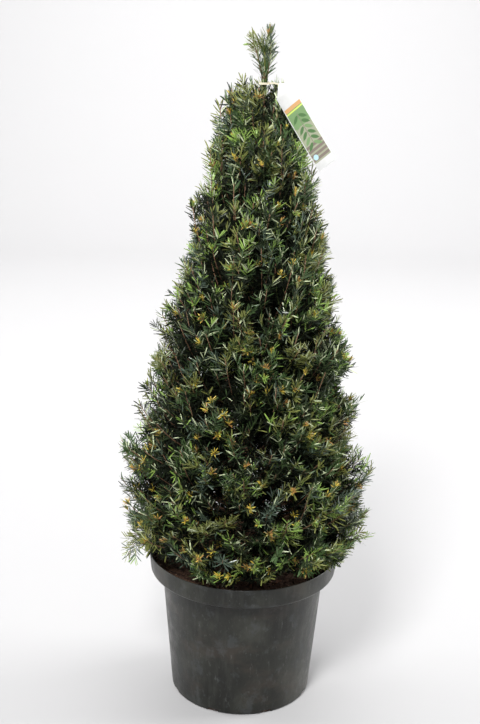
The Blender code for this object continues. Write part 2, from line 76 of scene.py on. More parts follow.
bpy.ops.object.camera_add(location=CAMERA_PLACE)
camera = bpy.context.object
camera.name = "camera"
aim = Matrix.Rotation(math.pi / 2 - LOOK_DOWN, 4, "X") @ Matrix.Rotation(ROLL, 4, "Z")
camera.matrix_world = Matrix.Translation(CAMERA_PLACE) @ aim
camera.data.lens = LENS
bpy.context.scene.camera = camera
print("camera at", tuple(camera.location))

# %% [markdown]
# ## Working by hand in code
# An operator acts on everything that is selected, and loading leaves the solids selected. So each piece
# starts by deselecting everything, and then picks its own edges and faces by where they are. A finished
# piece has its place in its mesh and its object at the origin, and it rides on the part's one body.

# %% Helpers for one piece
def clear_selection():
    """Leaves edit mode and deselects everything."""
    if bpy.context.mode != "OBJECT":
        bpy.ops.object.mode_set(mode="OBJECT")
    bpy.ops.object.select_all(action="DESELECT")


def only(obj):
    """Makes one object the selected and active one."""
    clear_selection()
    obj.select_set(True)
    bpy.context.view_layer.objects.active = obj


def pick(kind, test):
    """Selects, in edit mode, only the items (kind VERT, EDGE or FACE) whose corners pass a test."""
    obj = bpy.context.object
    if bpy.context.mode == "OBJECT":
        bpy.ops.object.mode_set(mode="EDIT")
    bpy.ops.mesh.select_mode(type=kind)
    bpy.ops.mesh.select_all(action="DESELECT")
    bpy.ops.object.mode_set(mode="OBJECT")
    places = [vertex.co for vertex in obj.data.vertices]
    if kind == "VERT":
        for vertex in obj.data.vertices:
            vertex.select = test([vertex.co])
    else:
        for item in obj.data.edges if kind == "EDGE" else obj.data.polygons:
            item.select = test([places[corner] for corner in item.vertices])
    bpy.ops.object.mode_set(mode="EDIT")


def set_place(obj):
    """Moves an object's place, turn and scale into its mesh."""
    only(obj)
    bpy.ops.object.transform_apply(location=True, rotation=True, scale=True)


def apply_modifier(obj, kind, **settings):
    """Adds a modifier with these settings and applies it."""
    only(obj)
    modifier = obj.modifiers.new(kind.lower(), kind)
    for name, value in settings.items():
        setattr(modifier, name, value)
    bpy.ops.object.modifier_apply(modifier=modifier.name)


def deliver(obj, name, slot, *nodes):
    """Makes an object a finished piece of the part, which stands for the solids named last, if any."""
    obj.name = obj.data.name = name
    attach(obj, "root")
    if nodes:
        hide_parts(*nodes)
    obj.data.calc_loop_triangles()
    print(name, "has", len(obj.data.loop_triangles), "triangles")


# %% [markdown]
# ## Finishes
# Every finish here is built from the same few nodes: a Noise pattern on the object's own coordinates, a
# colour ramp that turns it into two or three close colours, and a weak bump. Writing each step once as a
# function keeps the later cells short. A finish with one even colour, such as that of a needle, is set on
# the shader alone.

# %% Helpers for finishes
def plain_finish(name, colour, roughness, specular=0.5):
    """A finish with one even colour."""
    made = bpy.data.materials.new(name)
    made.use_nodes = True
    shader = made.node_tree.nodes["Principled BSDF"]
    shader.inputs["Base Color"].default_value = (*colour, 1.0)
    shader.inputs["Roughness"].default_value = roughness
    shader.inputs["Specular IOR Level"].default_value = specular
    made.diffuse_color = (*colour, 1.0)
    return made


def noise(made, scale, stretch=(1, 1, 1), **settings):
    """Adds a Noise pattern on Object coordinates and gives its value output."""
    nodes, links = made.node_tree.nodes, made.node_tree.links
    place = nodes.new("ShaderNodeTexCoord")
    mapping = nodes.new("ShaderNodeMapping")
    mapping.inputs["Scale"].default_value = stretch
    texture = nodes.new("ShaderNodeTexNoise")
    texture.inputs["Scale"].default_value = scale
    for socket, value in settings.items():
        texture.inputs[socket].default_value = value
    links.new(place.outputs["Object"], mapping.inputs["Vector"])
    links.new(mapping.outputs["Vector"], texture.inputs["Vector"])
    return texture.outputs["Fac"]


def ramp(made, value, *stops):
    """Turns a value into a colour through (place, colour) stops."""
    node = made.node_tree.nodes.new("ShaderNodeValToRGB")
    while len(node.color_ramp.elements) < len(stops):
        node.color_ramp.elements.new(0.5)
    for element, (place, colour) in zip(node.color_ramp.elements, stops):
        element.position = place
        element.color = (*colour, 1.0)
    made.node_tree.links.new(value, node.inputs["Fac"])
    return node.outputs["Color"]


def laid_over(made, below, colour, amount):
    """Lays one even colour over another layer, by a mask of how much of it shows."""
    node = made.node_tree.nodes.new("ShaderNodeMix")
    node.data_type = "RGBA"
    colours = [socket for socket in node.inputs if socket.type == "RGBA"]
    colours[1].default_value = (*colour, 1.0)
    made.node_tree.links.new(below, colours[0])
    made.node_tree.links.new(amount, node.inputs["Factor"])
    return [socket for socket in node.outputs if socket.type == "RGBA"][0]


def shade(made, colour=None, roughness=None, bump=None, depth=0.001):
    """Links a colour, a roughness and a bump height to the finish's shader."""
    nodes, links = made.node_tree.nodes, made.node_tree.links
    shader = nodes["Principled BSDF"]
    if colour:
        links.new(colour, shader.inputs["Base Color"])
    if roughness:
        links.new(roughness, shader.inputs["Roughness"])
    if bump:
        node = nodes.new("ShaderNodeBump")
        node.inputs["Strength"].default_value = 1.0
        node.inputs["Distance"].default_value = depth
        links.new(bump, node.inputs["Height"])
        links.new(node.outputs["Normal"], shader.inputs["Normal"])


# %% [markdown]
# ## Floor and backdrop
# A plant like this is shown on one seamless pale sheet that runs up behind it, so that no corner is seen. It
# is made from a plane whose far edge is extruded upwards. The fold between the two is bevelled into a wide
# curve. The upright part stands far back, so that the plant can be looked at from behind as well.

# %% Floor and backdrop
SHEET_WIDTH = 14.0
SHEET_FRONT, SHEET_BACK = -6.0, 5.4
SHEET_HEIGHT = 6.0
SHEET_FOLD, FOLD_STEPS = 1.6, 24
SHEET_GREY = (0.525, 0.521, 0.525)

clear_selection()
bpy.ops.mesh.primitive_plane_add(size=1.0, location=(0, (SHEET_FRONT + SHEET_BACK) / 2, 0))
backdrop = bpy.context.object
backdrop.name = "backdrop"
backdrop.scale = (SHEET_WIDTH, SHEET_BACK - SHEET_FRONT, 1)
set_place(backdrop)
pick("EDGE", lambda corners: all(corner.y > 0 for corner in corners))
bpy.ops.mesh.extrude_region_move(TRANSFORM_OT_translate={"value": (0, 0, SHEET_HEIGHT)})
pick("EDGE", lambda corners: all(corner.y > 0 and corner.z < 0.01 for corner in corners))
bpy.ops.mesh.bevel(offset=SHEET_FOLD, segments=FOLD_STEPS)
bpy.ops.object.mode_set(mode="OBJECT")
bpy.ops.object.shade_smooth()
backdrop.data.materials.append(plain_finish("white_sheet", SHEET_GREY, 0.7, 0.2))
print("backdrop faces:", len(backdrop.data.polygons))

# %% [markdown]
# ## Light
# Soft light on a bright set comes from large sources: one softbox above and in front, a wide one overhead,
# one at each side for the edges of the pot, one for the sheet behind, and a faint surround. Dark gloss shows
# best with such wide sources, because what it mirrors is their whole area.

# %% Light
SURROUND_COLOUR, SURROUND_STRENGTH = (0.93, 0.96, 1.0, 1.0), 0.097


def softbox(name, place, target, size, power):
    """A square area light of a size in metres and a power in watts, which faces a target."""
    bpy.ops.object.light_add(type="AREA", location=place)
    lamp = bpy.context.object
    lamp.name = name
    lamp.rotation_euler = (Vector(target) - Vector(place)).to_track_quat("-Z", "Y").to_euler()
    lamp.data.size = size
    lamp.data.energy = power


softbox("key_softbox", (-0.8, -2.9, 3.7), (0, 0, 0.7), 1.1, 207)
softbox("overhead_softbox", (0.2, 0.5, 4.3), (0, 0.2, 0), 2.6, 62)
softbox("left_softbox", (-4.2, 1.2, 1.7), (0, 0, 0.5), 2.4, 117)
softbox("right_softbox", (4.2, 1.0, 1.7), (0, 0, 0.5), 2.4, 207)
softbox("backdrop_softbox", (0, 2.4, 4.4), (0, 5.2, 2.1), 3.2, 235)
surround = bpy.data.worlds.new("surround")
surround.use_nodes = True
surround.node_tree.nodes["Background"].inputs["Color"].default_value = SURROUND_COLOUR
surround.node_tree.nodes["Background"].inputs["Strength"].default_value = SURROUND_STRENGTH
bpy.context.scene.world = surround
bpy.context.scene.view_settings.view_transform = "Standard"

# %% [markdown]
# ## The pot's outline
# The pot is a thin moulded wall: a tapering body under a wider collar, with every corner rounded. Its profile
# is worked out as a few corners with a radius each. The outside is one such line, and the same line moved in
# by one wall gives the inside.

# %% The pot's outline
POT_HEIGHT = 0.318
RIM_RADIUS = 0.200
COLLAR_HEIGHT = 0.045
SHOULDER_RADIUS = 0.1715
BASE_RADIUS = 0.1480
WALL = 0.0026
COLLAR_FLARE = 0.0045
UNDERSIDE_RADIUS = 0.05
OUTER_ROUNDINGS = (0.006, 0.003, 0.0085)
INNER_ROUNDINGS = (0.006, 0.005, 0.003)
LIP_ROUNDINGS = (WALL * 0.45, WALL * 0.45)


def moved_in(corners, distance):
    """Moves an open line of corners sideways by one distance, keeping its corners sharp."""
    moved = []
    for i, corner in enumerate(corners):
        normals = []
        for before, after in ((i - 1, i), (i, i + 1)):
            if before >= 0 and after < len(corners):
                along = (corners[after] - corners[before]).normalized()
                normals.append(Vector((-along.y, along.x)))
        mean = sum(normals, Vector((0, 0))) / len(normals)
        moved.append(corner + mean * distance / mean.length_squared)
    return moved


def rounded(corners, radii, steps=6):
    """A line of corners in which each inner corner becomes an arc of its own radius."""
    line = [corners[0]]
    for before, corner, after, radius in zip(corners, corners[1:], corners[2:], radii):
        back, on = (before - corner).normalized(), (after - corner).normalized()
        half = back.angle(on) / 2
        middle = corner + (back + on).normalized() * radius / math.sin(half)
        start, end = corner + back * radius / math.tan(half), corner + on * radius / math.tan(half)
        for step in range(steps + 1):
            arm = start.lerp(end, step / steps) - middle
            line.append(middle + arm.normalized() * radius)
    return line + [corners[-1]]


shoulder = POT_HEIGHT - COLLAR_HEIGHT
outside = [Vector(point) for point in ((UNDERSIDE_RADIUS, 0), (BASE_RADIUS, 0), (SHOULDER_RADIUS, shoulder),
                                       (RIM_RADIUS - COLLAR_FLARE, shoulder), (RIM_RADIUS, POT_HEIGHT))]
inside = moved_in(outside, WALL)
inside[-1].y = POT_HEIGHT
wall_line = rounded(outside + inside[::-1], OUTER_ROUNDINGS + LIP_ROUNDINGS + INNER_ROUNDINGS)
print("profile points:", len(wall_line))

# %% [markdown]
# ## Moulding the pot
# A filled circle under the pot is extruded from point to point of the profile. Each step lifts its cap and
# scales it to the next radius: up the outside, over the rim and down the inside, where the cap becomes the
# pot's floor. The shell is closed at every step, so no doubles are left to merge.

# %% Extrude the wall
POT_SIDES = 144

clear_selection()
bpy.ops.mesh.primitive_circle_add(vertices=POT_SIDES, radius=wall_line[0].x, fill_type="NGON")
pot = bpy.context.object
bpy.ops.object.mode_set(mode="EDIT")
bpy.ops.mesh.select_mode(type="FACE")
bpy.ops.mesh.select_all(action="SELECT")
for before, point in zip(wall_line, wall_line[1:]):
    bpy.ops.mesh.extrude_region_move(TRANSFORM_OT_translate={"value": (0, 0, point.y - before.y)})
    bpy.ops.transform.resize(value=(point.x / before.x, point.x / before.x, 1))
bpy.ops.mesh.select_all(action="SELECT")
bpy.ops.mesh.normals_make_consistent(inside=False)
bpy.ops.object.mode_set(mode="OBJECT")
print("pot rings:", len(wall_line), "faces:", len(pot.data.polygons))

# %% [markdown]
# ## Drain notches
# Water leaves the pot through eight shallow notches in its foot. One block with rounded edges is modelled,
# copied round the foot, and cut out of the wall in one Boolean.

# %% Cut the drain notches
DRAIN_NOTCHES = 8
DRAIN_SIZE = Vector((0.046, 0.024, 0.014))
DRAIN_ROUNDING = 0.0022

blocks = []
for i in range(DRAIN_NOTCHES):
    turn = math.tau * (i + 0.5) / DRAIN_NOTCHES
    place = (BASE_RADIUS * math.cos(turn), BASE_RADIUS * math.sin(turn), 0)
    clear_selection()
    bpy.ops.mesh.primitive_cube_add(size=1.0, location=place, rotation=(0, 0, turn))
    block = bpy.context.object
    block.scale = DRAIN_SIZE
    set_place(block)
    bpy.ops.object.mode_set(mode="EDIT")
    bpy.ops.mesh.select_all(action="SELECT")
    bpy.ops.mesh.bevel(offset=DRAIN_ROUNDING, segments=3)
    bpy.ops.object.mode_set(mode="OBJECT")
    blocks.append(block)
only(blocks[0])
for block in blocks[1:]:
    block.select_set(True)
bpy.ops.object.join()
apply_modifier(pot, "BOOLEAN", operation="DIFFERENCE", object=blocks[0], solver="EXACT")
bpy.data.objects.remove(blocks[0])
only(pot)
bpy.ops.object.shade_smooth_by_angle(angle=math.radians(32))
print("pot faces after the cuts:", len(pot.data.polygons))

# %% [markdown]
# ## Nursery plastic
# The plastic is black when new. Handling, drying water and splashed compost leave it dusty in several ways:
# wide clouds, soft upright streaks, bluish smudges, small upright scuffs, and a little brown mud. Each is a
# noise of its own scale, sharpened by a ramp into a mask and laid over the last. Dustier places are rougher.

# %% Nursery plastic
GRAIN_DEPTH = 0.00012


def grey(value):
    """A neutral colour of one value."""
    return (value, value, value)


def mask(made, value, start, end, strength):
    """A soft-edged mask: nothing below the start of a value, its full strength above the end."""
    return ramp(made, value, (start, grey(0)), (end, grey(strength)))


plastic = plain_finish("nursery_plastic", grey(0.029), 0.4, 0.38)
clouds = noise(plastic, 11.0, stretch=(1, 1, 0.7), Detail=6.0, Roughness=0.6)
streaks = noise(plastic, 55.0, stretch=(1, 1, 0.14), Detail=4.0, Roughness=0.65)
smudges = noise(plastic, 26.0, stretch=(1, 1, 0.8), Detail=9.0, Roughness=0.72)
scuffs = noise(plastic, 130.0, stretch=(1, 1, 0.32), Detail=5.0, Roughness=0.7)
mud = noise(plastic, 8.0, stretch=(1, 1, 1.6), Detail=8.0, Roughness=0.65)
dusty = ramp(plastic, clouds, (0.38, (0.0070, 0.0074, 0.0052)), (0.54, (0.0165, 0.0173, 0.0130)),
             (0.70, (0.041, 0.042, 0.033)))
dusty = laid_over(plastic, dusty, (0.052, 0.054, 0.046), mask(plastic, streaks, 0.50, 0.72, 0.38))
dusty = laid_over(plastic, dusty, (0.061, 0.043, 0.032), mask(plastic, mud, 0.53, 0.66, 0.36))
dusty = laid_over(plastic, dusty, (0.087, 0.096, 0.102), mask(plastic, smudges, 0.53, 0.62, 0.27))
dusty = laid_over(plastic, dusty, (0.160, 0.162, 0.160), mask(plastic, scuffs, 0.60, 0.70, 0.28))
worn = ramp(plastic, smudges, (0.36, grey(0.28)), (0.62, grey(0.50)))
grain = noise(plastic, 900.0, Detail=2.0)
shade(plastic, dusty, worn, grain, GRAIN_DEPTH)
pot.data.materials.append(plastic)
deliver(pot, "nursery_pot", "pot_plastic", "pot")

# %% [markdown]
# ## Compost
# The compost is a solid body that fills the pot. A plain cylinder would leave a gap along the tapering wall.
# So a filled circle is extruded up along the inside of the wall, and its cap is then drawn inwards in many
# small steps, so that the surface has enough points to be raised and lowered.

# %% The compost's body
SOIL_TOP = 0.290
SOIL_SIDES, SOIL_STEPS = 200, 42
SOIL_CLEARANCE = 0.0004

inner_line = moved_in(outside, WALL + SOIL_CLEARANCE)
soil_line = [Vector((point.x, point.y)) for point in inner_line[:-1]]
share = (SOIL_TOP - inner_line[-2].y) / (inner_line[-1].y - inner_line[-2].y)
edge = inner_line[-2].lerp(inner_line[-1], share)
soil_line += [edge] + [Vector((edge.x * (1 - step / SOIL_STEPS), SOIL_TOP)) for step in range(1, SOIL_STEPS)]
clear_selection()
bpy.ops.mesh.primitive_circle_add(vertices=SOIL_SIDES, radius=soil_line[0].x, fill_type="NGON",
                                  location=(0, 0, soil_line[0].y))
soil = bpy.context.object
set_place(soil)
bpy.ops.object.mode_set(mode="EDIT")
bpy.ops.mesh.select_mode(type="FACE")
bpy.ops.mesh.select_all(action="SELECT")
for before, point in zip(soil_line, soil_line[1:]):
    bpy.ops.mesh.extrude_region_move(TRANSFORM_OT_translate={"value": (0, 0, point.y - before.y)})
    bpy.ops.transform.resize(value=(point.x / before.x, point.x / before.x, 1))
bpy.ops.mesh.select_all(action="SELECT")
bpy.ops.mesh.normals_make_consistent(inside=False)
bpy.ops.object.mode_set(mode="OBJECT")
print("compost rings:", len(soil_line), "faces:", len(soil.data.polygons))

# %% [markdown]
# ## Mounds and lumps
# Compost that was tipped in and watered lies in low mounds, with lumps and crumbs on them. Sculpting would
# be slow and hard to repeat. Three Displace modifiers with cloud textures of three sizes do it instead. A
# vertex group holds them to the surface, and lets them fade out where it meets the wall.

# %% Raise mounds and lumps
SOIL_RELIEF = (("mounds", 0.055, 0.010), ("lumps", 0.012, 0.011), ("crumb", 0.004, 0.004))
WALL_FADE = 0.006

surface = soil.vertex_groups.new(name="surface")
for vertex in soil.data.vertices:
    if vertex.co.z > SOIL_TOP - 1e-4:
        from_wall = edge.x - math.hypot(vertex.co.x, vertex.co.y)
        surface.add([vertex.index], min(1.0, from_wall / WALL_FADE), "REPLACE")
for name, size, strength in SOIL_RELIEF:
    texture = bpy.data.textures.new(name, "CLOUDS")
    texture.noise_scale = size
    texture.noise_depth = 3
    apply_modifier(soil, "DISPLACE", texture=texture, strength=strength, mid_level=0.5, direction="Z",
                   vertex_group="surface")
only(soil)
bpy.ops.object.shade_smooth()
print("compost reaches", round(max(vertex.co.z for vertex in soil.data.vertices), 4))

# %% [markdown]
# ## Many copies of one small thing
# Crumbs, twigs and needles are small things in great numbers, and an object for each would be slow. So each
# kind is modelled once by hand and taken as arrays of points and triangles. Its copies are worked out with
# arrays too, and all of them become one mesh.

# %% Helpers for many small things
def template(obj):
    """Takes an object's mesh as arrays of points and triangles, and removes the object."""
    only(obj)
    bpy.ops.object.mode_set(mode="EDIT")
    bpy.ops.mesh.select_all(action="SELECT")
    bpy.ops.mesh.quads_convert_to_tris(quad_method="BEAUTY", ngon_method="BEAUTY")
    bpy.ops.object.mode_set(mode="OBJECT")
    points = np.array([vertex.co for vertex in obj.data.vertices])
    triangles = np.array([list(face.vertices) for face in obj.data.polygons])
    bpy.data.objects.remove(obj)
    return points, triangles


def joined(points, triangles, finishes, slots=None):
    """One object from many copies of a template. points has an axis of copies, one of points and x, y, z,
    and slots gives the number of each copy's finish."""
    copies, each = points.shape[:2]
    corners = (triangles[None] + (np.arange(copies) * each)[:, None, None]).reshape(-1, 3)
    mesh = bpy.data.meshes.new("joined")
    mesh.vertices.add(copies * each)
    mesh.vertices.foreach_set("co", points.astype(np.float32).ravel())
    mesh.loops.add(corners.size)
    mesh.loops.foreach_set("vertex_index", corners.astype(np.int32).ravel())
    mesh.polygons.add(len(corners))
    mesh.polygons.foreach_set("loop_start", np.arange(0, corners.size, 3, dtype=np.int32))
    if slots is not None:
        mesh.polygons.foreach_set("material_index", np.repeat(slots, len(triangles)).astype(np.int32))
    for finish in finishes:
        mesh.materials.append(finish)
    mesh.update(calc_edges=True)
    mesh.polygons.foreach_set("use_smooth", np.ones(len(corners), dtype=bool))
    obj = bpy.data.objects.new("joined", mesh)
    bpy.context.scene.collection.objects.link(obj)
    return obj


def unit(vectors):
    """Vectors of length one. The last axis is x, y, z."""
    return vectors / np.maximum(np.linalg.norm(vectors, axis=-1, keepdims=True), 1e-9)


# %% [markdown]
# ## One crumb
# On top of the compost lie loose lumps and bark chips. One lump is modelled from a small icosphere that is
# pushed out of round and flattened. At this size so few faces are enough.

# %% Model one crumb
clear_selection()
bpy.ops.mesh.primitive_ico_sphere_add(subdivisions=1, radius=1.0)
bpy.ops.object.mode_set(mode="EDIT")
bpy.ops.mesh.select_all(action="SELECT")
bpy.ops.transform.vertex_random(offset=0.3, seed=3)
bpy.ops.transform.resize(value=(1.0, 0.75, 0.55))
crumb_points, crumb_faces = template(bpy.context.object)
print("one crumb has", len(crumb_faces), "faces")

# %% [markdown]
# ## Strewing the crumbs
# Each crumb gets its place, size, turn and tilt by chance. Most are small, and some are drawn out like a
# sliver of bark. The bed's points crowd together towards the middle, so a place there is taken less often.

# %% Strew crumbs on the compost
CRUMBS = 1500
CRUMB_LEAST, CRUMB_MOST = 0.0012, 0.0046
CRUMB_WALL_GAP, CRUMB_TRUNK_GAP = 0.006, 0.03
LONG_SHARE, LONG_STRETCH = 0.2, 2.6
dice = np.random.default_rng(7)


def turned(first, second, angle):
    """Two coordinates of some points, turned by an angle that each copy has for itself."""
    c, s = np.cos(angle)[:, None], np.sin(angle)[:, None]
    return first * c - second * s, first * s + second * c


bed = np.array([vertex.co for vertex in soil.data.vertices])
bed = bed[bed[:, 2] > SOIL_TOP - 0.02]
chosen = bed[dice.integers(0, len(bed), CRUMBS * 3)]
radius = np.hypot(chosen[:, 0], chosen[:, 1])
on_show = (radius < edge.x - CRUMB_WALL_GAP) & (radius > CRUMB_TRUNK_GAP)
chosen = chosen[on_show & (dice.random(len(chosen)) < radius / edge.x)][:CRUMBS]
sizes = CRUMB_LEAST + (CRUMB_MOST - CRUMB_LEAST) * dice.random(len(chosen)) ** 3
spin = dice.random(len(chosen)) * math.tau
tilt = dice.normal(0, 0.5, len(chosen))
stretch = np.where(dice.random(len(chosen)) < LONG_SHARE, LONG_STRETCH, 1.0)
shape = sizes[:, None] * np.stack([stretch, np.ones_like(stretch), 1 / np.sqrt(stretch)], -1)
x, y, z = np.moveaxis(crumb_points[None] * shape[:, None], -1, 0)
x, z = turned(x, z, tilt)
x, y = turned(x, y, spin)
crumb_finishes = [plain_finish("peat_dark", (0.065, 0.038, 0.026), 0.95, 0.2),
                  plain_finish("peat_red", (0.174, 0.090, 0.055), 0.9, 0.2),
                  plain_finish("bark_chip", (0.38, 0.232, 0.145), 0.85, 0.3)]
kinds = dice.choice(3, len(chosen), p=(0.5, 0.4, 0.1))
crumbs = joined(np.stack([x, y, z], -1) + chosen[:, None], crumb_faces, crumb_finishes, kinds)
print("crumbs:", len(chosen))

# %% [markdown]
# ## Moist peat
# Moist compost is nearly black in its hollows and a warm brown on its lumps. One noise gives both, through a
# ramp of three colours, and a finer one gives the surface its crumbly bump. It has hardly any gloss.

# %% Compost finish
peat = plain_finish("moist_peat", (0.029, 0.0145, 0.0116), 0.9, 0.25)
lumps = noise(peat, 90.0, Detail=8.0, Roughness=0.7)
peat_colour = ramp(peat, lumps, (0.35, (0.032, 0.0188, 0.0145)), (0.52, (0.094, 0.052, 0.035)),
                   (0.68, (0.217, 0.123, 0.080)))
shade(peat, peat_colour, None, noise(peat, 420.0, Detail=6.0, Roughness=0.7), 0.0012)
soil.data.materials.append(peat)
deliver(soil, "compost_bed", "compost", "soil")
deliver(crumbs, "compost_crumbs", "compost")

# %% [markdown]
# ## The plan of the crown
# The crown is dealt out in tiers of wedges round one upright trunk. Each wedge is the space of one bough and
# of the foliage that it carries. Its height depends on the radius, because the surfaces between the tiers
# are cones, and its reach is the outline of the crown at that height. The same few functions place boughs,
# twigs and needles, and they work on one point or on a whole array of points.

# %% The crown's outline
UP = Vector((0, 0, 1))
TRUNK_TOP = 1.238
LEAN = 0.0165
CROWN_RADIUS = 0.248
WIDEST_Z = 0.46
SKIRT_DEPTH, SKIRT_ROUND = 0.30, 2.4
CONE_HEIGHT, CONE_ROUND = 1.08, 1.15


def leaning(x, y, z):
    """A point of the upright plan, carried sideways with the plant's lean."""
    return Vector((x + LEAN * (z - SOIL_TOP), y, z))


def crown_radius(height):
    """How far the foliage reaches from the trunk's line at a height."""
    low = np.clip((WIDEST_Z - height) / SKIRT_DEPTH, 0, 1)
    high = np.clip((height - WIDEST_Z) / CONE_HEIGHT, 0, 1)
    skirt = (1 - low**SKIRT_ROUND) ** (1 / SKIRT_ROUND)
    return CROWN_RADIUS * np.where(height < WIDEST_Z, skirt, 1 - high**CONE_ROUND)


def reach(points):
    """Each point's distance from the trunk's line, as a share of the crown's radius at its height."""
    x = points[..., 0] - LEAN * (points[..., 2] - SOIL_TOP)
    return np.hypot(x, points[..., 1]) / np.maximum(crown_radius(points[..., 2]), 0.02)


print("crown radius by height:", [round(float(crown_radius(z)), 3) for z in (0.32, 0.46, 0.7, 1.0, 1.25)])

# %% [markdown]
# ## The wedges
# The cones between the tiers are steeper higher up, because shoots near the top stand more upright. A class
# keeps what belongs to one wedge: its tier, its turn round the trunk and its name. Its methods turn simple
# coordinates, such as halfway up and at the crown's face, into a point.

# %% The wedges
# Each cone between two tiers: its height at the trunk's line, and its rise for each metre outwards.
TIER_CONES = ((0.345, -0.25), (0.426, 0.30), (0.564, 0.45), (0.692, 0.65), (0.825, 0.90), (0.957, 1.20),
              (1.202, 2.00))
MASSES_IN_TIER = (6, 5, 5, 4, 3, 3)
TIER_TURN = math.radians(22)


class Space:
    """The wedge of one mass: between two cones, and between two upright planes through the trunk's line."""

    def __init__(self, tier, index):
        self.tier = tier
        self.half_turn = math.pi / MASSES_IN_TIER[tier]
        self.middle = TIER_TURN * tier + self.half_turn * (2 * index + 1)
        self.bough_level = 0.42 if index % 2 else 0.56
        self.name = f"tier_{tier + 1}_{'abcdef'[index]}"

    def point(self, turn, level, radius):
        """The point at a radius, a turn (-1 to 1 across the wedge) and a level (0 at its floor to 1)."""
        (low, low_rise), (high, high_rise) = TIER_CONES[self.tier:self.tier + 2]
        angle = self.middle + turn * self.half_turn
        height = (low + low_rise * radius) * (1 - level) + (high + high_rise * radius) * level
        return leaning(radius * math.cos(angle), radius * math.sin(angle), height)

    def surface(self, turn, level, share):
        """The point at a share of the crown's radius, which depends on the height reached."""
        radius = 0.1
        for _ in range(5):
            radius = share * float(crown_radius(self.point(turn, level, radius).z))
        return self.point(turn, level, radius)


spaces = [Space(tier, index) for tier, count in enumerate(MASSES_IN_TIER) for index in range(count)]
print("wedges:", len(spaces))

# %% [markdown]
# ## One limb, laid along many lines
# Trunk, boughs and twigs are all tapering tubes. A straight one is modelled by extruding a circle ring by
# ring. Copies of it are then laid along lines: each ring goes to its point of the line and turns with it.
# This keeps one well made tube for hundreds of limbs, where curves with a bevel would each need converting.

# %% Model a straight limb and lay it along lines
def straight_limb(sides, rings):
    """A limb one unit long and one unit in radius, standing on its root."""
    clear_selection()
    bpy.ops.mesh.primitive_circle_add(vertices=sides, radius=1.0, fill_type="NGON")
    bpy.ops.object.mode_set(mode="EDIT")
    bpy.ops.mesh.select_mode(type="FACE")
    bpy.ops.mesh.select_all(action="SELECT")
    for _ in range(rings - 1):
        bpy.ops.mesh.extrude_region_move(TRANSFORM_OT_translate={"value": (0, 0, 1 / (rings - 1))})
    bpy.ops.mesh.select_all(action="SELECT")
    bpy.ops.mesh.normals_make_consistent(inside=False)
    return template(bpy.context.object)


def square_to(vectors, axes):
    """The part of vectors that is square to some axes, at length one."""
    return unit(vectors - axes * np.sum(vectors * axes, -1, keepdims=True))


def laid_along(limb, lines, radii):
    """Copies of a limb's points along lines (copies, rings, 3), with a radius at each ring."""
    rings = lines.shape[1]
    along = unit(np.gradient(lines, axis=1))
    side = np.zeros_like(lines)
    before = np.where(np.abs(along[:, 0, :1]) < 0.8, [[1.0, 0, 0]], [[0, 1.0, 0]])
    for k in range(rings):
        before = side[:, k] = square_to(before, along[:, k])
    other = np.cross(along, side)
    ring = np.rint(limb[:, 2] * (rings - 1)).astype(int)
    arms = side[:, ring] * limb[:, 0, None] + other[:, ring] * limb[:, 1, None]
    return lines[:, ring] + arms * radii[:, ring, None]


# %% [markdown]
# ## Trunk and boughs
# The trunk runs up through the whole crown, leaning and swaying a little. Each bough leaves it in the middle
# of its wedge, and sags a little on its way out. Their lines come first, as plain points, because the skin
# of each limb and the stems of the masses all follow them.

# %% The trunk's and the boughs' lines
TRUNK_FOOT_RADIUS, TRUNK_TOP_RADIUS = 0.013, 0.0042
TRUNK_SWAY = 0.0025
ROOT_FLARE, ROOT_FLARE_HEIGHT, ROOT_RIBS = 0.009, 0.022, 5
BOUGH_END, BOUGH_SAG, BOUGH_TIP_SHARE = 0.29, 0.004, 0.62
BOUGH_RADII = (0.0062, 0.0056, 0.0050, 0.0044, 0.0036, 0.0028)
GAP = 0.0003
CLOSER_AT_FOOT = 1.5


def trunk_line(rings):
    """Points up the trunk, closer together near its foot."""
    share = np.linspace(0, 1, rings) ** CLOSER_AT_FOOT
    height = SOIL_TOP + GAP + (TRUNK_TOP - SOIL_TOP - GAP) * share
    sway = TRUNK_SWAY * np.sin(8 * share ** (1 / CLOSER_AT_FOOT))
    return np.stack([sway + LEAN * (height - SOIL_TOP), -0.6 * sway, height], -1)


def bough_line(space, rings):
    """The bough's line: from the trunk outwards and up, sagging a little on its way."""
    points = []
    for share in np.linspace(0.03, 1, rings):
        point = space.surface(0.0, space.bough_level, max(BOUGH_END * share, 0.001))
        points.append(point - UP * BOUGH_SAG * math.sin(math.pi * share))
    return points


print("the trunk ends at", np.round(trunk_line(2)[-1], 4).tolist())

# %% [markdown]
# ## Bark relief
# Old yew bark is thin and peels in long flakes over redder bark. A bump in the finish wouldn't show at the
# trunk's edges, so the skin itself is pushed in and out: by long ridges that wander round the trunk, and by
# small flakes between them.

# %% Ridges and flakes
def barked(points, centres, depth, dice):
    """Pushes a limb's skin in and out from its centre line by ridges and flakes."""
    arm = points - centres
    radius = np.linalg.norm(arm, axis=-1)
    turn = np.arctan2(arm[:, 1], arm[:, 0])
    z = points[:, 2]
    ridges = np.zeros(len(points))
    for _ in range(5):
        around, along, phase = dice.integers(3, 9), dice.uniform(20, 90), dice.uniform(0, math.tau)
        ridges += np.sin(around * turn + along * z + 2 * np.sin(along * 1.7 * z + phase) + phase)
    flakes = np.sin(11 * turn + 400 * z) * np.sin(5 * turn - 260 * z) + dice.normal(0, 0.35, len(points))
    return centres + arm * (1 + depth * (0.3 * ridges + 0.5 * flakes) / np.maximum(radius, 1e-4))[:, None]


# %% [markdown]
# ## The trunk
# The trunk is a straight limb whose rings are moved to their places on its line. It tapers towards its tip,
# and flares into low ribs where it meets the compost. Its rings stay level, because it leans so slightly.

# %% The trunk with its bark
TRUNK_SIDES, TRUNK_RINGS = 44, 200
BARK_DEPTH = 0.00045
dice = np.random.default_rng(11)

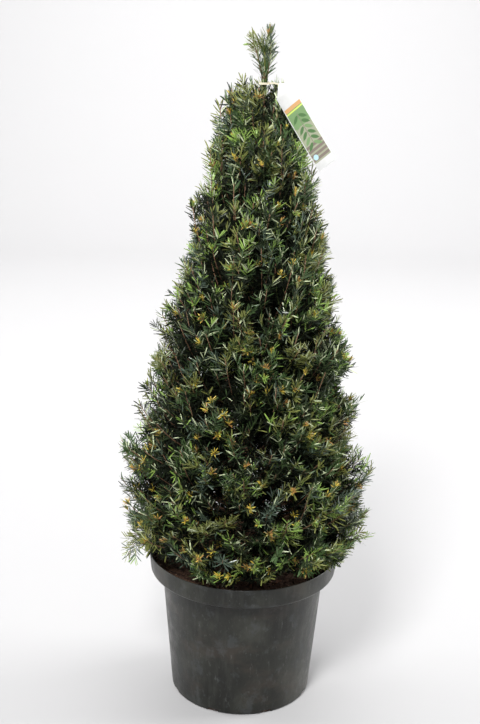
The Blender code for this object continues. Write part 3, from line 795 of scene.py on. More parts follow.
trunk_limb, trunk_faces = straight_limb(TRUNK_SIDES, TRUNK_RINGS)
line = trunk_line(TRUNK_RINGS)
height = line[:, 2]
flare = ROOT_FLARE * np.exp(-(height - SOIL_TOP) / ROOT_FLARE_HEIGHT)
narrowing = (TRUNK_TOP_RADIUS - TRUNK_FOOT_RADIUS) * (height - SOIL_TOP) / (TRUNK_TOP - SOIL_TOP)
taper = TRUNK_FOOT_RADIUS + narrowing
ring = np.rint(trunk_limb[:, 2] * (TRUNK_RINGS - 1)).astype(int)
turn = np.arctan2(trunk_limb[:, 1], trunk_limb[:, 0])
thick = taper[ring] + flare[ring] * (1 + 0.35 * np.cos(ROOT_RIBS * turn))
centres = line[ring]
trunk_points = centres + np.stack([thick * trunk_limb[:, 0], thick * trunk_limb[:, 1], 0 * thick], -1)
trunk_points = barked(trunk_points, centres, BARK_DEPTH, dice)
trunk = joined(trunk_points[None], trunk_faces, [])
print("trunk points:", len(trunk_points))

# %% [markdown]
# ## The boughs
# All boughs are copies of one straight limb, laid along their own lines. Each swells into a collar where it
# leaves the trunk, and thins towards its tip. Little of them is seen, so a fine roughness is bark enough.

# %% The boughs with their bark
BOUGH_SIDES, BOUGH_RINGS = 14, 22
BOUGH_ROUGHNESS = 0.00012
COLLAR_SWELL, COLLAR_REACH = 0.5, 0.06

bough_limb, bough_faces = straight_limb(BOUGH_SIDES, BOUGH_RINGS)
bough_lines = np.array([bough_line(space, BOUGH_RINGS) for space in spaces])
steps = np.linspace(0, 1, BOUGH_RINGS)
swelling = 1 + COLLAR_SWELL * np.exp(-steps / COLLAR_REACH)
bough_radii = np.array([BOUGH_RADII[space.tier] for space in spaces])[:, None]
bough_radii = bough_radii * (1 - (1 - BOUGH_TIP_SHARE) * steps) * swelling
bough_points = laid_along(bough_limb, bough_lines, bough_radii)
bough_points = bough_points + dice.normal(0, BOUGH_ROUGHNESS, bough_points.shape)
boughs = joined(bough_points, bough_faces, [])
only(trunk)
boughs.select_set(True)
bpy.ops.object.join()
trunk = bpy.context.object
print("boughs:", len(bough_lines))

# %% [markdown]
# ## Yew bark
# Fresh bark is red, and the old flakes over it are a greyish brown. A noise drawn out along the limb gives
# long flakes of several reddish browns, and the same noise lifts them a little.

# %% Yew bark
bark = plain_finish("yew_bark", (0.217, 0.116, 0.072), 0.8, 0.3)
long_flakes = noise(bark, 90.0, stretch=(1, 1, 0.22), Detail=6.0, Roughness=0.65)
bark_colour = ramp(bark, long_flakes, (0.34, (0.072, 0.043, 0.032)), (0.5, (0.196, 0.109, 0.072)),
                   (0.64, (0.35, 0.160, 0.102)), (0.8, (0.43, 0.32, 0.232)))
shade(bark, bark_colour, None, long_flakes, 0.0008)
trunk.data.materials.append(bark)
deliver(trunk, "trunk_and_boughs", "bark", "trunk", *[f"bough_{space.name}" for space in spaces])

# %% [markdown]
# ## Lumps and dips
# A sheared cone is never quite smooth. Its face is raised and lowered by two waves, and at its left and right
# edges by single bumps at their own heights, because an edge against a pale ground shows every one of them.
# Some patches of a crown are also thinner than others, so fewer side shoots grow there.

# %% The crown's lumps and dips
LEFT, RIGHT = math.pi, 0.0
# The height of each bump, and how far it stands out as a share of the crown's radius.
BUMPS = {
    LEFT: ((0.31, 0.08), (0.375, 0.07), (0.42, -0.07), (0.48, 0.13), (0.555, 0.14), (0.605, -0.06),
           (0.645, 0.15), (0.74, 0.06), (0.81, 0.14), (0.97, -0.06), (1.05, 0.16), (1.10, -0.14),
           (1.14, 0.12), (1.19, 0.04), (1.24, 0.28)),
    RIGHT: ((0.30, -0.14), (0.39, 0.11), (0.45, -0.07), (0.50, 0.14), (0.565, -0.16), (0.62, 0.10),
            (0.69, -0.17), (0.77, 0.05), (0.84, -0.08), (0.94, -0.12), (1.07, -0.10)),
}
BUMP_TURN, BUMP_HEIGHT = 0.6, 0.024
LABEL_DIP, LABEL_DIP_Z, LABEL_DIP_FADE = 0.50, 1.19, 0.07


def turn_and_height(points):
    """Each point's angle round the trunk's line, and its height."""
    z = points[..., 2]
    return np.arctan2(points[..., 1], points[..., 0] - LEAN * (z - SOIL_TOP)), z


def fullness(points):
    """How far the crown grows past the plain cone, or falls short of it, as a share of its radius."""
    angle, z = turn_and_height(points)
    lumps = 0.040 * np.sin(3 * angle + 19 * z + 1) + 0.035 * np.sin(5 * angle - 43 * z + 4)
    total = lumps * np.abs(np.sin(angle))
    for turn, bumps in BUMPS.items():
        away = (np.abs(angle) - turn) / BUMP_TURN
        for height, amount in bumps:
            total = total + amount * np.exp(-(away**2) - ((z - height) / BUMP_HEIGHT) ** 2)
    return total - LABEL_DIP * np.exp(-angle**2) * np.clip((z - LABEL_DIP_Z) / LABEL_DIP_FADE, 0, 1)


DENSE_REACH = 0.62


def keep_share(points):
    """The share of side shoots that grow: all near the trunk, fewer in loose patches, high up and left."""
    angle, z = turn_and_height(points)
    loose = 0.5 + 0.5 * np.sin(4 * angle + 23 * z + 1.5 * np.sin(3 * angle - 31 * z))
    left = np.exp(-((np.abs(angle) - LEFT) / 0.9) ** 2) * np.clip((z - 0.5) / 0.15, 0, 1)
    share = 0.92 - 0.45 * loose**2 - 0.22 * np.clip((z - 1.05) / 0.2, 0, 1) - 0.52 * left
    return np.where(reach(points) < DENSE_REACH, 1.0, share)


edges = np.array([leaning(side * 0.2, 0, 0.645) for side in (-1, 1)])
print("fullness left and right:", fullness(edges).round(3), "shoots kept:", keep_share(edges).round(2))

# %% [markdown]
# ## How a mass grows
# A bough carries on as a stem into its mass, and branchlets spread from there to the outer face of the
# wedge. Each branchlet rises as it goes out, and carries a flat fan of side shoots. A branchlet or shoot is
# kept as three control points of a quadratic curve, because such a curve is quick to sample and to cut
# short. Their tips follow the same evenly spread sequence as the solid masses do, only with more of them.

# %% One branchlet
BRANCHLETS_IN_MASS = (24, 24, 22, 22, 24, 22)
INNER_BRANCHLETS = 5
CLIMB = (0.5, 0.85, 1.1, 1.5, 2.1, 3.2)
LOWEST_START = SOIL_TOP + 0.045


def curve_point(curve, share):
    """A point and direction on a quadratic curve of three control points."""
    a, b, c = curve
    first, second = a.lerp(b, share), b.lerp(c, share)
    return first.lerp(second, share), (second - first).normalized()


def branchlet(space, i, rng):
    """The curve of one branchlet, from inside its wedge to the crown's face. The last few stay inside."""
    turn = 2 * ((0.5 + 0.755 * i + 0.1 * rng.random()) % 1.0) - 1
    level = 0.02 + 0.96 * ((0.37 + 0.57 * i + 0.1 * rng.random()) % 1.0)
    share = rng.uniform(0.90, 1.02) if i < BRANCHLETS_IN_MASS[space.tier] else rng.uniform(0.5, 0.68)
    tip = space.surface(turn, level, share)
    tip = space.surface(turn, level, share + float(fullness(np.array(tip))))
    x = tip.x - LEAN * (tip.z - SOIL_TOP)
    radius, angle = math.hypot(x, tip.y), math.atan2(tip.y, x) + rng.uniform(-0.25, 0.25)
    start = rng.uniform(0.34, 0.5) * radius
    climb = CLIMB[space.tier] * rng.uniform(0.6, 1.4) + 0.25 * (level - 0.5)
    height = max(tip.z - climb * (radius - start), LOWEST_START)
    root = leaning(start * math.cos(angle), start * math.sin(angle), height)
    outwards = Vector((math.cos(angle), math.sin(angle), 0))
    length = (tip - root).length
    bow = root.lerp(tip, 0.5) + (outwards * 0.8 - UP) * length * rng.uniform(0.08, 0.2)
    return root, bow, tip


first = branchlet(spaces[0], 0, random.Random(0))
print("a branchlet is", round((first[2] - first[0]).length, 3), "long")

# %% [markdown]
# ## Side shoots
# A branchlet carries its side shoots to its left and right in turn, in one plane, and the lowest are the
# longest. That is what makes a yew's sprays flat. Near the top the shoots stand closer to their branchlet.

# %% Its side shoots
SIDE_SHOOTS = 9
SHOOT_LENGTH = 0.078
SPREAD, UPRIGHT_SPREAD, UPRIGHT_Z = (30, 55), (16, 36), 1.12


def side_shoots(curve, rng):
    """The fan of shoots that one branchlet carries to its left and right, and the normal of the fan."""
    _, along = curve_point(curve, 0.7)
    level_side = along.cross(UP).normalized()
    roll = rng.choice((-1, 1)) * rng.uniform(0.2, 1.0)
    normal = level_side.cross(along) * math.cos(roll) + level_side * math.sin(roll)
    shoots, shares = [], []
    for j in range(SIDE_SHOOTS):
        share = 0.26 + 0.66 * (j + rng.random()) / SIDE_SHOOTS
        shares.append(share)
        start, forward = curve_point(curve, share)
        sideways = forward.cross(normal).normalized() * (1 if j % 2 else -1)
        spread = math.radians(rng.uniform(*(SPREAD if curve[2].z < UPRIGHT_Z else UPRIGHT_SPREAD)))
        heading = forward * math.cos(spread) + sideways * math.sin(spread) + normal * rng.uniform(-0.25, 0.25)
        length = SHOOT_LENGTH * (1.0 - 0.55 * share) * rng.uniform(0.7, 1.15)
        bend = (forward * 0.3 + UP * rng.uniform(0.1, 0.5)) * length
        shoots.append((start, start + heading * length * 0.5, start + heading * length * 0.8 + bend * 0.6))
    return shoots, normal, shares


print("side shoots:", len(side_shoots(first, random.Random(0))[0]))

# %% [markdown]
# ## Branchlets that missed the shears
# A few branchlets stand out from the crown, and the lowest of them hangs over the pot's rim. Nobody would
# find these by a rule, so each is written down as three points. All the branchlets of a mass then grow from
# one seed of its own, so a change in one mass leaves the others as they are.

# %% Growth of a mass
SEED = 20
LONE_BRANCHLETS = {
    "tier_1_d": ((-0.130, -0.020, 0.352), (-0.215, -0.030, 0.396), (-0.252, -0.036, 0.292)),
    "tier_2_c": ((-0.120, -0.030, 0.500), (-0.200, -0.045, 0.505), (-0.256, -0.040, 0.572)),
    "tier_2_e": ((0.140, -0.050, 0.460), (0.205, -0.060, 0.455), (0.248, -0.050, 0.505)),
    "tier_3_e": ((0.110, -0.040, 0.590), (0.170, -0.050, 0.600), (0.212, -0.040, 0.650)),
    "tier_4_d": ((0.080, -0.040, 0.690), (0.145, -0.045, 0.700), (0.188, -0.040, 0.755)),
}


def growth(space):
    """The curves of one mass (curves, 3, 3), their fans' normals, and where on its branchlet each starts."""
    rng = random.Random(f"{SEED} {space.name}")
    curves, normals, starts_at = [], [], []
    count = BRANCHLETS_IN_MASS[space.tier] + INNER_BRANCHLETS
    branchlets = [branchlet(space, i, rng) for i in range(count)]
    if space.name in LONE_BRANCHLETS:
        branchlets.append(tuple(Vector(point) for point in LONE_BRANCHLETS[space.name]))
    for curve in branchlets:
        shoots, normal, shares = side_shoots(curve, rng)
        curves += [curve] + shoots
        normals += [normal] * (1 + len(shoots))
        starts_at += [0.0] + shares
    return np.array(curves), np.array(normals), np.array(starts_at)


print("curves in the first mass:", len(growth(spaces[0])[0]))

# %% [markdown]
# ## Keeping clear
# Foliage may not pass through the pot or the compost, and it hardly grows past the box of the solids. Each
# test takes an array of points and answers for all of them at once. The lowest foliage rises from the
# compost near the trunk to well over the rim, and only the lone sprig hangs lower.

# %% Clear of pot and compost
FLOOR_START, FLOOR_RISE, FLOOR_WAVE = 0.10, 0.42, 0.006
OVER_COMPOST, LEAST_GAP = 0.010, 0.004
SPRIG_X, SPRIG_Y = -RIM_RADIUS - 0.006, -0.033
SPRIG_HALF_WIDTH, SPRIG_FLOOR = 0.028, 0.25
REACH_MARGIN = 0.013
solid_low, solid_high = np.array(solid_box[0]), np.array(solid_box[1])


def above_floor(points, droop=0.0):
    """True above the height that foliage hangs down to. Needles may droop a little below their shoots."""
    x, y = points[..., 0], points[..., 1]
    radius, angle = np.hypot(x, y), np.arctan2(y, x)
    rise = FLOOR_RISE * (np.clip(radius, FLOOR_START, RIM_RADIUS + LEAST_GAP) - FLOOR_START)
    floor = SOIL_TOP + OVER_COMPOST + rise + FLOOR_WAVE * np.sin(5 * angle + 1) * (radius > FLOOR_START)
    by_lone_sprig = (x < SPRIG_X) & (np.abs(y - SPRIG_Y) < SPRIG_HALF_WIDTH)
    floor = np.where(by_lone_sprig, SPRIG_FLOOR, floor)
    return points[..., 2] > np.maximum(floor - droop, SOIL_TOP + LEAST_GAP)


def in_box(points):
    """True inside the box of the whole solid model, with a small margin."""
    return ((points > solid_low - REACH_MARGIN) & (points < solid_high + REACH_MARGIN)).all(-1)


print("a point just over the rim is clear:", bool(above_floor(np.array([RIM_RADIUS, 0, 0.36]))))

# %% [markdown]
# ## Where the label hangs
# The label hangs from a strap round the leading shoot, and its card slants away from the crown with its face
# to the front. Three directions describe it: down its length, across its width, and out of its face.
# Foliage keeps off card and strap, and out of the space in front of the card, so that it can be read.

# %% Clear of the label
LABEL_NECK = Vector((0.045, -0.020, 1.299))
LABEL_FOOT = Vector((0.139, -0.096, 1.158))
LABEL_WIDTH = 0.045
CARD_TWIST = math.radians(25)
CARD_CLEARANCE, CARD_VIEW = 0.004, 0.05
STRAP_Z, STRAP_CLEARANCE, STRAP_LOOP_SHARE = 1.296, 0.003, 0.2

label_length = (LABEL_FOOT - LABEL_NECK).length
label_down = (LABEL_FOOT - LABEL_NECK).normalized()
label_across = Vector((0, -1, 0)).cross(label_down).normalized()
label_across = Matrix.Rotation(CARD_TWIST, 3, label_down) @ label_across
label_out = label_down.cross(label_across).normalized()


def clear_of_label(points):
    """True away from the card, from the strap that holds it, and from the space in front of the card."""
    offset = points - np.array(LABEL_NECK)
    down, across, out = (offset @ np.array(axis) for axis in (label_down, label_across, label_out))
    beyond = np.maximum(-down, down - label_length)
    off = np.where(out > 0, out - CARD_VIEW, -out)
    from_card = np.maximum(np.maximum(beyond, np.abs(across) - LABEL_WIDTH / 2), off)
    loop = np.array(leaning(0, 0, STRAP_Z))
    strap = np.array(LABEL_NECK) - loop
    share = np.clip((points - loop) @ strap / (strap @ strap), 0, 1)
    from_strap = np.linalg.norm(points - loop - share[..., None] * strap, axis=-1)
    return (from_card > CARD_CLEARANCE) & ((from_strap > STRAP_CLEARANCE) | (share < STRAP_LOOP_SHARE))


print("label length:", round(label_length, 3))

# %% [markdown]
# ## Shearing
# A grown mass is too large on purpose. Each curve is walked along in a few steps, and ends where it leaves
# the crown's outline or meets something. A part of a quadratic curve is again one, with its middle control
# point moved back by the same share, so nothing has to be fitted.

# %% Cut curves short
CUT_STEPS = 16
SURE_SHARE = 0.2
SHOULDER_TOP = 1.300


def sampled(curves, shares):
    """Points on curves at shares of their length: (curves, shares, 3)."""
    shares = shares[..., None]
    start, middle, end = (curves[:, None, k] for k in range(3))
    return (1 - shares) ** 2 * start + 2 * shares * (1 - shares) * middle + shares**2 * end


def cut_short(curves, limits):
    """Cuts each curve where it leaves the crown's limit or meets pot or label. Gives curves and ends."""
    shares = np.linspace(0, 1, CUT_STEPS + 1)[None].repeat(len(curves), 0)
    points = sampled(curves, shares)
    limits = limits[:, None]
    free = (reach(points) < limits + fullness(points)) & above_floor(points) & clear_of_label(points)
    free &= in_box(points) & (points[..., 2] < SHOULDER_TOP - 0.4 * np.maximum(1.03 - limits, 0))
    free |= shares < SURE_SHARE
    ends = np.where(free.all(1), 1.0, np.argmin(free, 1) / CUT_STEPS - 1 / CUT_STEPS)
    start, middle = curves[:, 0], curves[:, 1]
    last = sampled(curves, ends[:, None])[:, 0]
    return np.stack([start, start + (middle - start) * ends[:, None], last], 1), ends


whole = growth(spaces[0])[0]
print("cut in the first mass:", int((cut_short(whole, np.ones(len(whole)))[1] < 1).sum()), "of", len(whole))

# %% [markdown]
# ## One needle
# A yew needle is flat, straight or slightly curved, and ends in a short point. Its upper side has a raised
# midrib. Life size is about 25 by 2.5 mm. It is modelled once, one unit long and one wide, with seven
# points and six faces: a circle of six points filled as a fan, stretched, with the middle raised for the
# rib. It has so few because there are more than a hundred thousand needles.

# %% Model a needle
clear_selection()
bpy.ops.mesh.primitive_circle_add(vertices=6, radius=0.5, fill_type="TRIFAN", location=(0.5, 0, 0))
set_place(bpy.context.object)
pick("VERT", lambda corners: 0.1 < corners[0].x < 0.4)
bpy.ops.transform.translate(value=(-0.09, 0, 0))
pick("VERT", lambda corners: 0.6 < corners[0].x < 0.9)
bpy.ops.transform.translate(value=(0.06, 0, 0))
pick("VERT", lambda corners: abs(corners[0].y) < 0.01 and 0.4 < corners[0].x < 0.6)
bpy.ops.transform.translate(value=(0, 0, 0.5))
bpy.ops.mesh.select_all(action="SELECT")
bpy.ops.transform.resize(value=(1, 1 / (2 * 0.433), 1))
needle_points, needle_faces = template(bpy.context.object)
print("needle points", len(needle_points), "faces", len(needle_faces))

# %% [markdown]
# ## Setting out the needles
# Needles stand all round an upright shoot, each a golden angle on from the last. On a level shoot their
# stalks twist, so that they lie in two combs to the left and right. They lean forwards more and more
# towards the tip and are shorter at both ends. All of that is worked out for every needle of a mass at once,
# with arrays: where its root is, where it points, which way its face looks, and how long it is.

# %% Needle places
NEEDLE_LENGTH = 0.0250
NEEDLE_PITCH = 0.0019
GOLDEN_ANGLE = 2.39996
TIP_ZONE, SHORT_ZONE = 0.022, 0.02


def curve_lengths(curves):
    """The length of each curve, measured over a few straight steps."""
    points = sampled(curves, np.linspace(0, 1, 7)[None].repeat(len(curves), 0))
    return np.linalg.norm(np.diff(points, axis=1), axis=-1).sum(1)


def needle_places(curves, normals, starts, flatness, leans, dice, pitch):
    """Root, direction, face, length, own curve and share along it for every needle on these curves."""
    lengths = curve_lengths(curves)
    counts = np.maximum((lengths * (1 - starts) / pitch).astype(int), 0)
    owner = np.repeat(np.arange(len(curves)), counts)
    within = np.arange(len(owner)) - np.repeat(np.cumsum(counts) - counts, counts)
    share = starts[owner] + (1 - starts[owner]) * (within + 0.6) / counts[owner]
    root = sampled(curves[owner], share[:, None])[:, 0]
    before = sampled(curves[owner], share[:, None] - 0.02)[:, 0]
    along = unit(root - before)
    normal = square_to(normals[owner], along)
    side = np.cross(along, normal)
    left = np.where(within % 2, 1.0, -1.0)
    comb = left * (math.pi / 2) + dice.normal(0, 0.33, len(owner))
    round_it = within * GOLDEN_ANGLE + dice.normal(0, 0.3, len(owner))
    turn = np.where(dice.random(len(owner)) < flatness[owner], comb, round_it)[:, None]
    outward = normal * np.cos(turn) + side * np.sin(turn)
    left_over = lengths[owner] * (1 - share)
    least, most = leans[owner].T
    lean = least + (most - least) * np.clip(left_over / TIP_ZONE, 0, 1)
    lean = np.radians(lean + dice.normal(0, 0.15, len(owner)) * most)[:, None]
    direction = unit(along * np.cos(lean) + outward * np.sin(lean) + dice.normal(0, 0.06, root.shape))
    flat = np.abs(np.sin(turn)) * flatness[owner][:, None]
    face = square_to(normal * flat + along * (1 - flat) + dice.normal(0, 0.25, root.shape), direction)
    profile = np.clip(0.62 + 1.1 * np.minimum(share * lengths[owner], left_over) / SHORT_ZONE, 0, 1)
    length = NEEDLE_LENGTH * profile * dice.uniform(0.72, 1.08, len(owner))
    return root, direction, face, length, owner, share


print("longest curve of the first mass:", round(float(curve_lengths(whole).max()), 3))

# %% [markdown]
# ## From places to points
# The template needle lies along X with its face up. Each copy is put together from three directions: along
# the needle, across it, and out of its face. Each bends by an amount of its own, because needles that are
# all dead straight look like pins.

# %% The needles' points
NEEDLE_WIDTH = 0.0025
NEEDLE_RIB = 0.0005


def needle_mesh_points(root, direction, face, length, dice):
    """The points of every needle: (needles, 7, 3). Each bends a little, forwards or back."""
    width = NEEDLE_WIDTH * np.clip(length / NEEDLE_LENGTH, 0.7, 1) * dice.uniform(0.85, 1.1, len(root))
    x, y, z = needle_points.T[:, None, :, None]
    side = np.cross(face, direction)[:, None]
    length, width = length[:, None, None], width[:, None, None]
    bend = dice.normal(0.04, 0.07, len(root))[:, None, None] * length * x**2
    return (root[:, None] + direction[:, None] * length * x + side * width * y
            + face[:, None] * (NEEDLE_RIB * z - bend))


print("needle:", NEEDLE_LENGTH, "by", NEEDLE_WIDTH)

# %% [markdown]
# ## Needle colours
# Old needles are a deep green with a waxy bloom, and paler underneath. The year's growth is fresher, and in
# winter some shoots turn olive or bronze. Each colour is one plain finish, and colours are dealt out by
# spray: a whole branchlet is of one green, some shoots end fresh or olive, and here and there the needles
# round an end bud are golden. A few needles of each shoot take a pale finish that is partly their paler
# underside and partly a painted highlight, and those deep inside the crown take a painted shade that is
# nearly black.

# %% Needle finishes
NEEDLE_FINISHES = [
    plain_finish("needle_deep", (0.030, 0.046, 0.020), 0.33, 0.6),
    plain_finish("needle_waxy", (0.100, 0.145, 0.104), 0.33, 0.8),
    plain_finish("needle_green", (0.068, 0.122, 0.042), 0.33),
    plain_finish("needle_olive", (0.230, 0.252, 0.070), 0.38),
    plain_finish("needle_fresh", (0.290, 0.450, 0.095), 0.36),
    plain_finish("needle_gold", (0.720, 0.550, 0.085), 0.45),
    plain_finish("needle_rust", (0.50, 0.268, 0.087), 0.50),
    # The paler underside, made pale enough to serve as a painted highlight too.
    plain_finish("needle_underside", (0.57, 0.64, 0.39), 0.40, 0.6),
    # Painted shade: a nearly black finish for needles deep inside the crown.
    plain_finish("needle_inner", (0.0116, 0.0159, 0.0087), 0.60, 0.2),
]
DEEP, WAXY, GREEN, OLIVE, FRESH, GOLD, RUST, UNDERSIDE_AND_HIGHLIGHT, PAINTED_SHADE = range(len(NEEDLE_FINISHES))
print("needle finishes:", len(NEEDLE_FINISHES))

# %% [markdown]
# ## Dealing out the colours
# Chance for each needle alone would scatter the colours like confetti. So each branchlet draws one green for
# its whole spray, and one number for its youth, which decides how many of its ends are fresh or olive.
# Sprays near the skirt and near the top have more of both.

# %% Deal out the colours
LOW_FROM, LOW_TO = 0.42, 0.32
TOP_FROM, TOP_TO = 0.98, 1.16


def part_of_way(value, start, end):
    """How far a value has come from a start to an end, between 0 and 1."""
    return np.clip((value - start) / (end - start), 0, 1)


def deal_colours(starts_at, heights, dice):
    """For each curve: the colour of its body, of its end, and where the end starts as a share."""
    low = part_of_way(heights, LOW_FROM, LOW_TO)
    top = part_of_way(heights, TOP_FROM, TOP_TO)
    spray = np.cumsum(starts_at == 0) - 1
    sprays = dice.choice([DEEP, WAXY, GREEN, OLIVE], spray[-1] + 1, p=(0.36, 0.24, 0.30, 0.10))
    youth = dice.random(spray[-1] + 1)[spray]
    body = sprays[spray]
    chance = dice.random(len(body))
    body = np.where((chance < 0.16) & (body < OLIVE), GREEN, body)
    body = np.where((chance > 0.72) & (low > 0.3), OLIVE, body)
    body = np.where((chance > 0.6) & (top > 0.3) & (body == WAXY), GREEN, body)
    chance = dice.random(len(body))
    fresh_share = np.where(youth < 0.13 + 0.20 * low + 0.20 * top, 0.70, 0.05)
    olive_share = np.where(youth > 0.80 - 0.10 * low - 0.25 * top, 0.60, 0.12)
    end = np.where(chance < fresh_share, FRESH, np.where(chance < fresh_share + olive_share, OLIVE, body))
    return body, end, dice.uniform(0.45, 0.85, len(body))


dealt = deal_colours(np.zeros(1000), np.full(1000, 0.7), np.random.default_rng(0))[1]
print("ends of a thousand branchlets by colour:", np.bincount(dealt, minlength=FRESH + 1).tolist())

# %% [markdown]
# ## Golden ends
# Round the end bud of some shoots stand short needles of a golden or rusty colour, at all angles, like a
# small star. They are dealt out by chance, each star mostly of one colour.

# %% Golden ends
STAR_SHARE = 0.09
STAR_NEEDLES = 18
STAR_DEPTH = 0.008
STAR_COLOURS = ((GOLD, OLIVE, RUST), (FRESH, OLIVE, GOLD), (GOLD, RUST, OLIVE), (RUST, GOLD, OLIVE))


def star_places(curves, dice):
    """Short needles that stand out from the buds at the ends of some curves."""
    chosen = np.flatnonzero(dice.random(len(curves)) < STAR_SHARE)
    owner = np.repeat(chosen, STAR_NEEDLES)
    back = dice.uniform(0, STAR_DEPTH, len(owner))[:, None]
    along = unit(curves[owner, 2] - curves[owner, 1])
    root = curves[owner, 2] - along * back
    outward = unit(np.cross(along, dice.normal(0, 1, root.shape)))
    lean = np.radians(dice.uniform(8, 70, len(owner)))[:, None]
    direction = along * np.cos(lean) + outward * np.sin(lean)
    face = unit(np.cross(direction, np.cross(along, direction)) + dice.normal(0, 0.2, root.shape))
    face = square_to(face, direction)
    length = dice.uniform(0.008, 0.015, len(owner))
    kind = np.repeat(dice.integers(0, len(STAR_COLOURS), len(chosen)), STAR_NEEDLES)
    colour = np.array(STAR_COLOURS)[kind, dice.choice(3, len(owner), p=(0.62, 0.26, 0.12))]
    return root, direction, face, length, colour


print("star needles on the first mass:", len(star_places(whole, np.random.default_rng(0))[0]))

# %% [markdown]
# ## From curves to a piece
# One function now does the whole way for a set of curves: it places the needles, colours them, adds the
# stars, drops every needle that would touch something, and joins the rest. Masses and leader both use it.

# %% Needles on curves
NEEDLE_DROOP = 0.009
# A share of needles takes the pale finish of underside and painted highlight, fewer of them low down.
PALE_SHARE, PALE_FROM = 0.14, 0.60
# Painted shade: between these reaches of the crown, needles turn nearly black towards the trunk, less so near
# the top.
SHADE_FROM, SHADE_TO = 0.93, 0.76
TOP_LESS_SHADE = 0.70


def kept_needles(root, direction, length):
    """Which needles stay clear of pot, compost and label, and inside the plant's box."""
    kept = np.ones(len(root), dtype=bool)
    for share in (0.0, 0.5, 1.0):
        points = root + direction * (length * share)[:, None]
        kept &= above_floor(points, NEEDLE_DROOP) & clear_of_label(points) & in_box(points)
    return kept


def grow_needles(curves, normals, starts, flatness, colours, dice, leans, pitch=NEEDLE_PITCH, painted_shade_cap=1.0):
    """One mesh object with all the needles and stars of these curves."""
    body, end, change = colours
    *places, owner, share = needle_places(curves, normals, starts, flatness, leans, dice, pitch)
    root = places[0]
    colour = np.where(share > change[owner], end[owner], body[owner])
    # Painted highlight, partly the real paler underside: a share of needles, fewer low down, take the pale
    # finish.
    pale = PALE_SHARE * np.clip(root[:, 2] / PALE_FROM, 0.5, 1)
    colour = np.where(dice.random(len(colour)) < pale, UNDERSIDE_AND_HIGHLIGHT, colour)
    # Painted shade: needles deep inside the crown, fewer near the top, are dealt the nearly black finish.
    depth = (SHADE_FROM - reach(root) + fullness(root)) / (SHADE_FROM - SHADE_TO)
    depth *= 1 - TOP_LESS_SHADE * part_of_way(root[:, 2], TOP_FROM, TOP_TO)
    colour = np.where(dice.random(len(colour)) < np.minimum(depth, painted_shade_cap), PAINTED_SHADE, colour)
    stars = star_places(curves, dice)
    root, direction, face, length, colour = map(np.concatenate, zip((*places, colour), stars))
    kept = kept_needles(root, direction, length)
    points = needle_mesh_points(root[kept], direction[kept], face[kept], length[kept], dice)
    return joined(points, needle_faces, NEEDLE_FINISHES, colour[kept])


# %% [markdown]
# ## Growing every mass
# Now the parts come together. Each mass gets its curves and has them cut to the crown. A side shoot is kept
# if its branchlet reaches it. The needles become one piece that stands for that mass, and the twigs are
# kept and joined tier by tier afterwards.

# %% Grow the needles of every mass
SHEARED_LIMITS, MISSED_LIMIT, LONE_LIMIT = (0.92, 1.03), 1.09, 1.4
MISSED_SHARE = 0.10
SHORTEST_SHARE = 0.3
BARE_BRANCHLET, BARE_SHOOT = 0.45, 0.05
TIP_LEAN, SHOOT_LEAN = 21.0, 54.0
twig_curves = {tier: [] for tier in range(len(MASSES_IN_TIER))}

for number, space in enumerate(spaces):
    dice = np.random.default_rng(100 + number)
    curves, normals, starts_at = growth(space)
    limits = dice.uniform(*SHEARED_LIMITS, len(curves))
    limits = np.where(dice.random(len(curves)) < MISSED_SHARE, MISSED_LIMIT, limits)
    if space.name in LONE_BRANCHLETS:
        limits[-1 - SIDE_SHOOTS:] = LONE_LIMIT
    curves, ends = cut_short(curves, limits)
    firsts = starts_at == 0
    parent = np.flatnonzero(firsts)[np.cumsum(firsts) - 1]
    grown = firsts | (dice.random(len(curves)) < keep_share(curves[:, 0]))
    kept = (ends > SHORTEST_SHARE) & (ends[parent] > np.maximum(starts_at, SHORTEST_SHARE)) & grown
    curves, normals, starts_at, firsts = curves[kept], normals[kept], starts_at[kept], firsts[kept]
    starts = np.where(firsts, BARE_BRANCHLET, BARE_SHOOT)
    flatness = dice.uniform(0.45, 1.0, len(curves))
    colours = deal_colours(starts_at, curves[:, 2, 2], dice)
    leans = np.tile([TIP_LEAN, SHOOT_LEAN], (len(curves), 1))
    needles = grow_needles(curves, normals, starts, flatness, colours, dice, leans)
    deliver(needles, f"needles_{space.name}", "yew_needles", f"foliage_{space.name}")
    twig_curves[space.tier].append((curves, firsts, space))
print("masses of needles:", len(spaces))

# %% [markdown]
# ## Twigs
# Every curve that carries needles gets its twig, and each mass its stem, which carries on from its bough.
# Young twigs are green and older ones reddish brown, so they are two plain finishes of one mesh. The twigs
# of a tier become one piece.

# %% Model a twig
TWIG_SIDES, TWIG_RINGS = 4, 6
TWIG_FINISHES = [plain_finish("twig_green", (0.087, 0.123, 0.036), 0.6),
                 plain_finish("twig_brown", (0.217, 0.116, 0.065), 0.75)]
GREEN_TWIG, BROWN_TWIG, STEM = range(3)

twig_limb, twig_faces = straight_limb(TWIG_SIDES, TWIG_RINGS)
twig_shares = np.linspace(0, 1, TWIG_RINGS)


def twigs_along(curves, radii, kinds):
    """One mesh object with a twig along each curve. A mass's stem is brown too."""
    limbs = laid_along(twig_limb, sampled(curves, twig_shares[None].repeat(len(curves), 0)), radii)
    return joined(limbs, twig_faces, TWIG_FINISHES, np.minimum(kinds, BROWN_TWIG))


print("one twig has", len(twig_faces), "faces")

# %% [markdown]
# ## Twigs tier by tier
# Each twig is thickest at its root. The twigs of side shoots are green, and those of branchlets brown. A
# mass's stem starts as thick as its bough ends, so that no step shows between them.

# %% Grow the twigs, tier by tier
SHOOT_RADIUS, BRANCHLET_RADIUS = 0.0008, 0.0017
TWIG_TAPER = 0.6
STEM_END = 0.62


def stem_curve(space):
    """The stem from the bough's tip to the middle of the mass."""
    line = bough_line(space, 5)
    start = line[-1]
    forward = (line[-1] - line[-2]).normalized()
    end = space.surface(0.0, space.bough_level, STEM_END)
    return start, start + forward * (end - start).length * 0.5, end


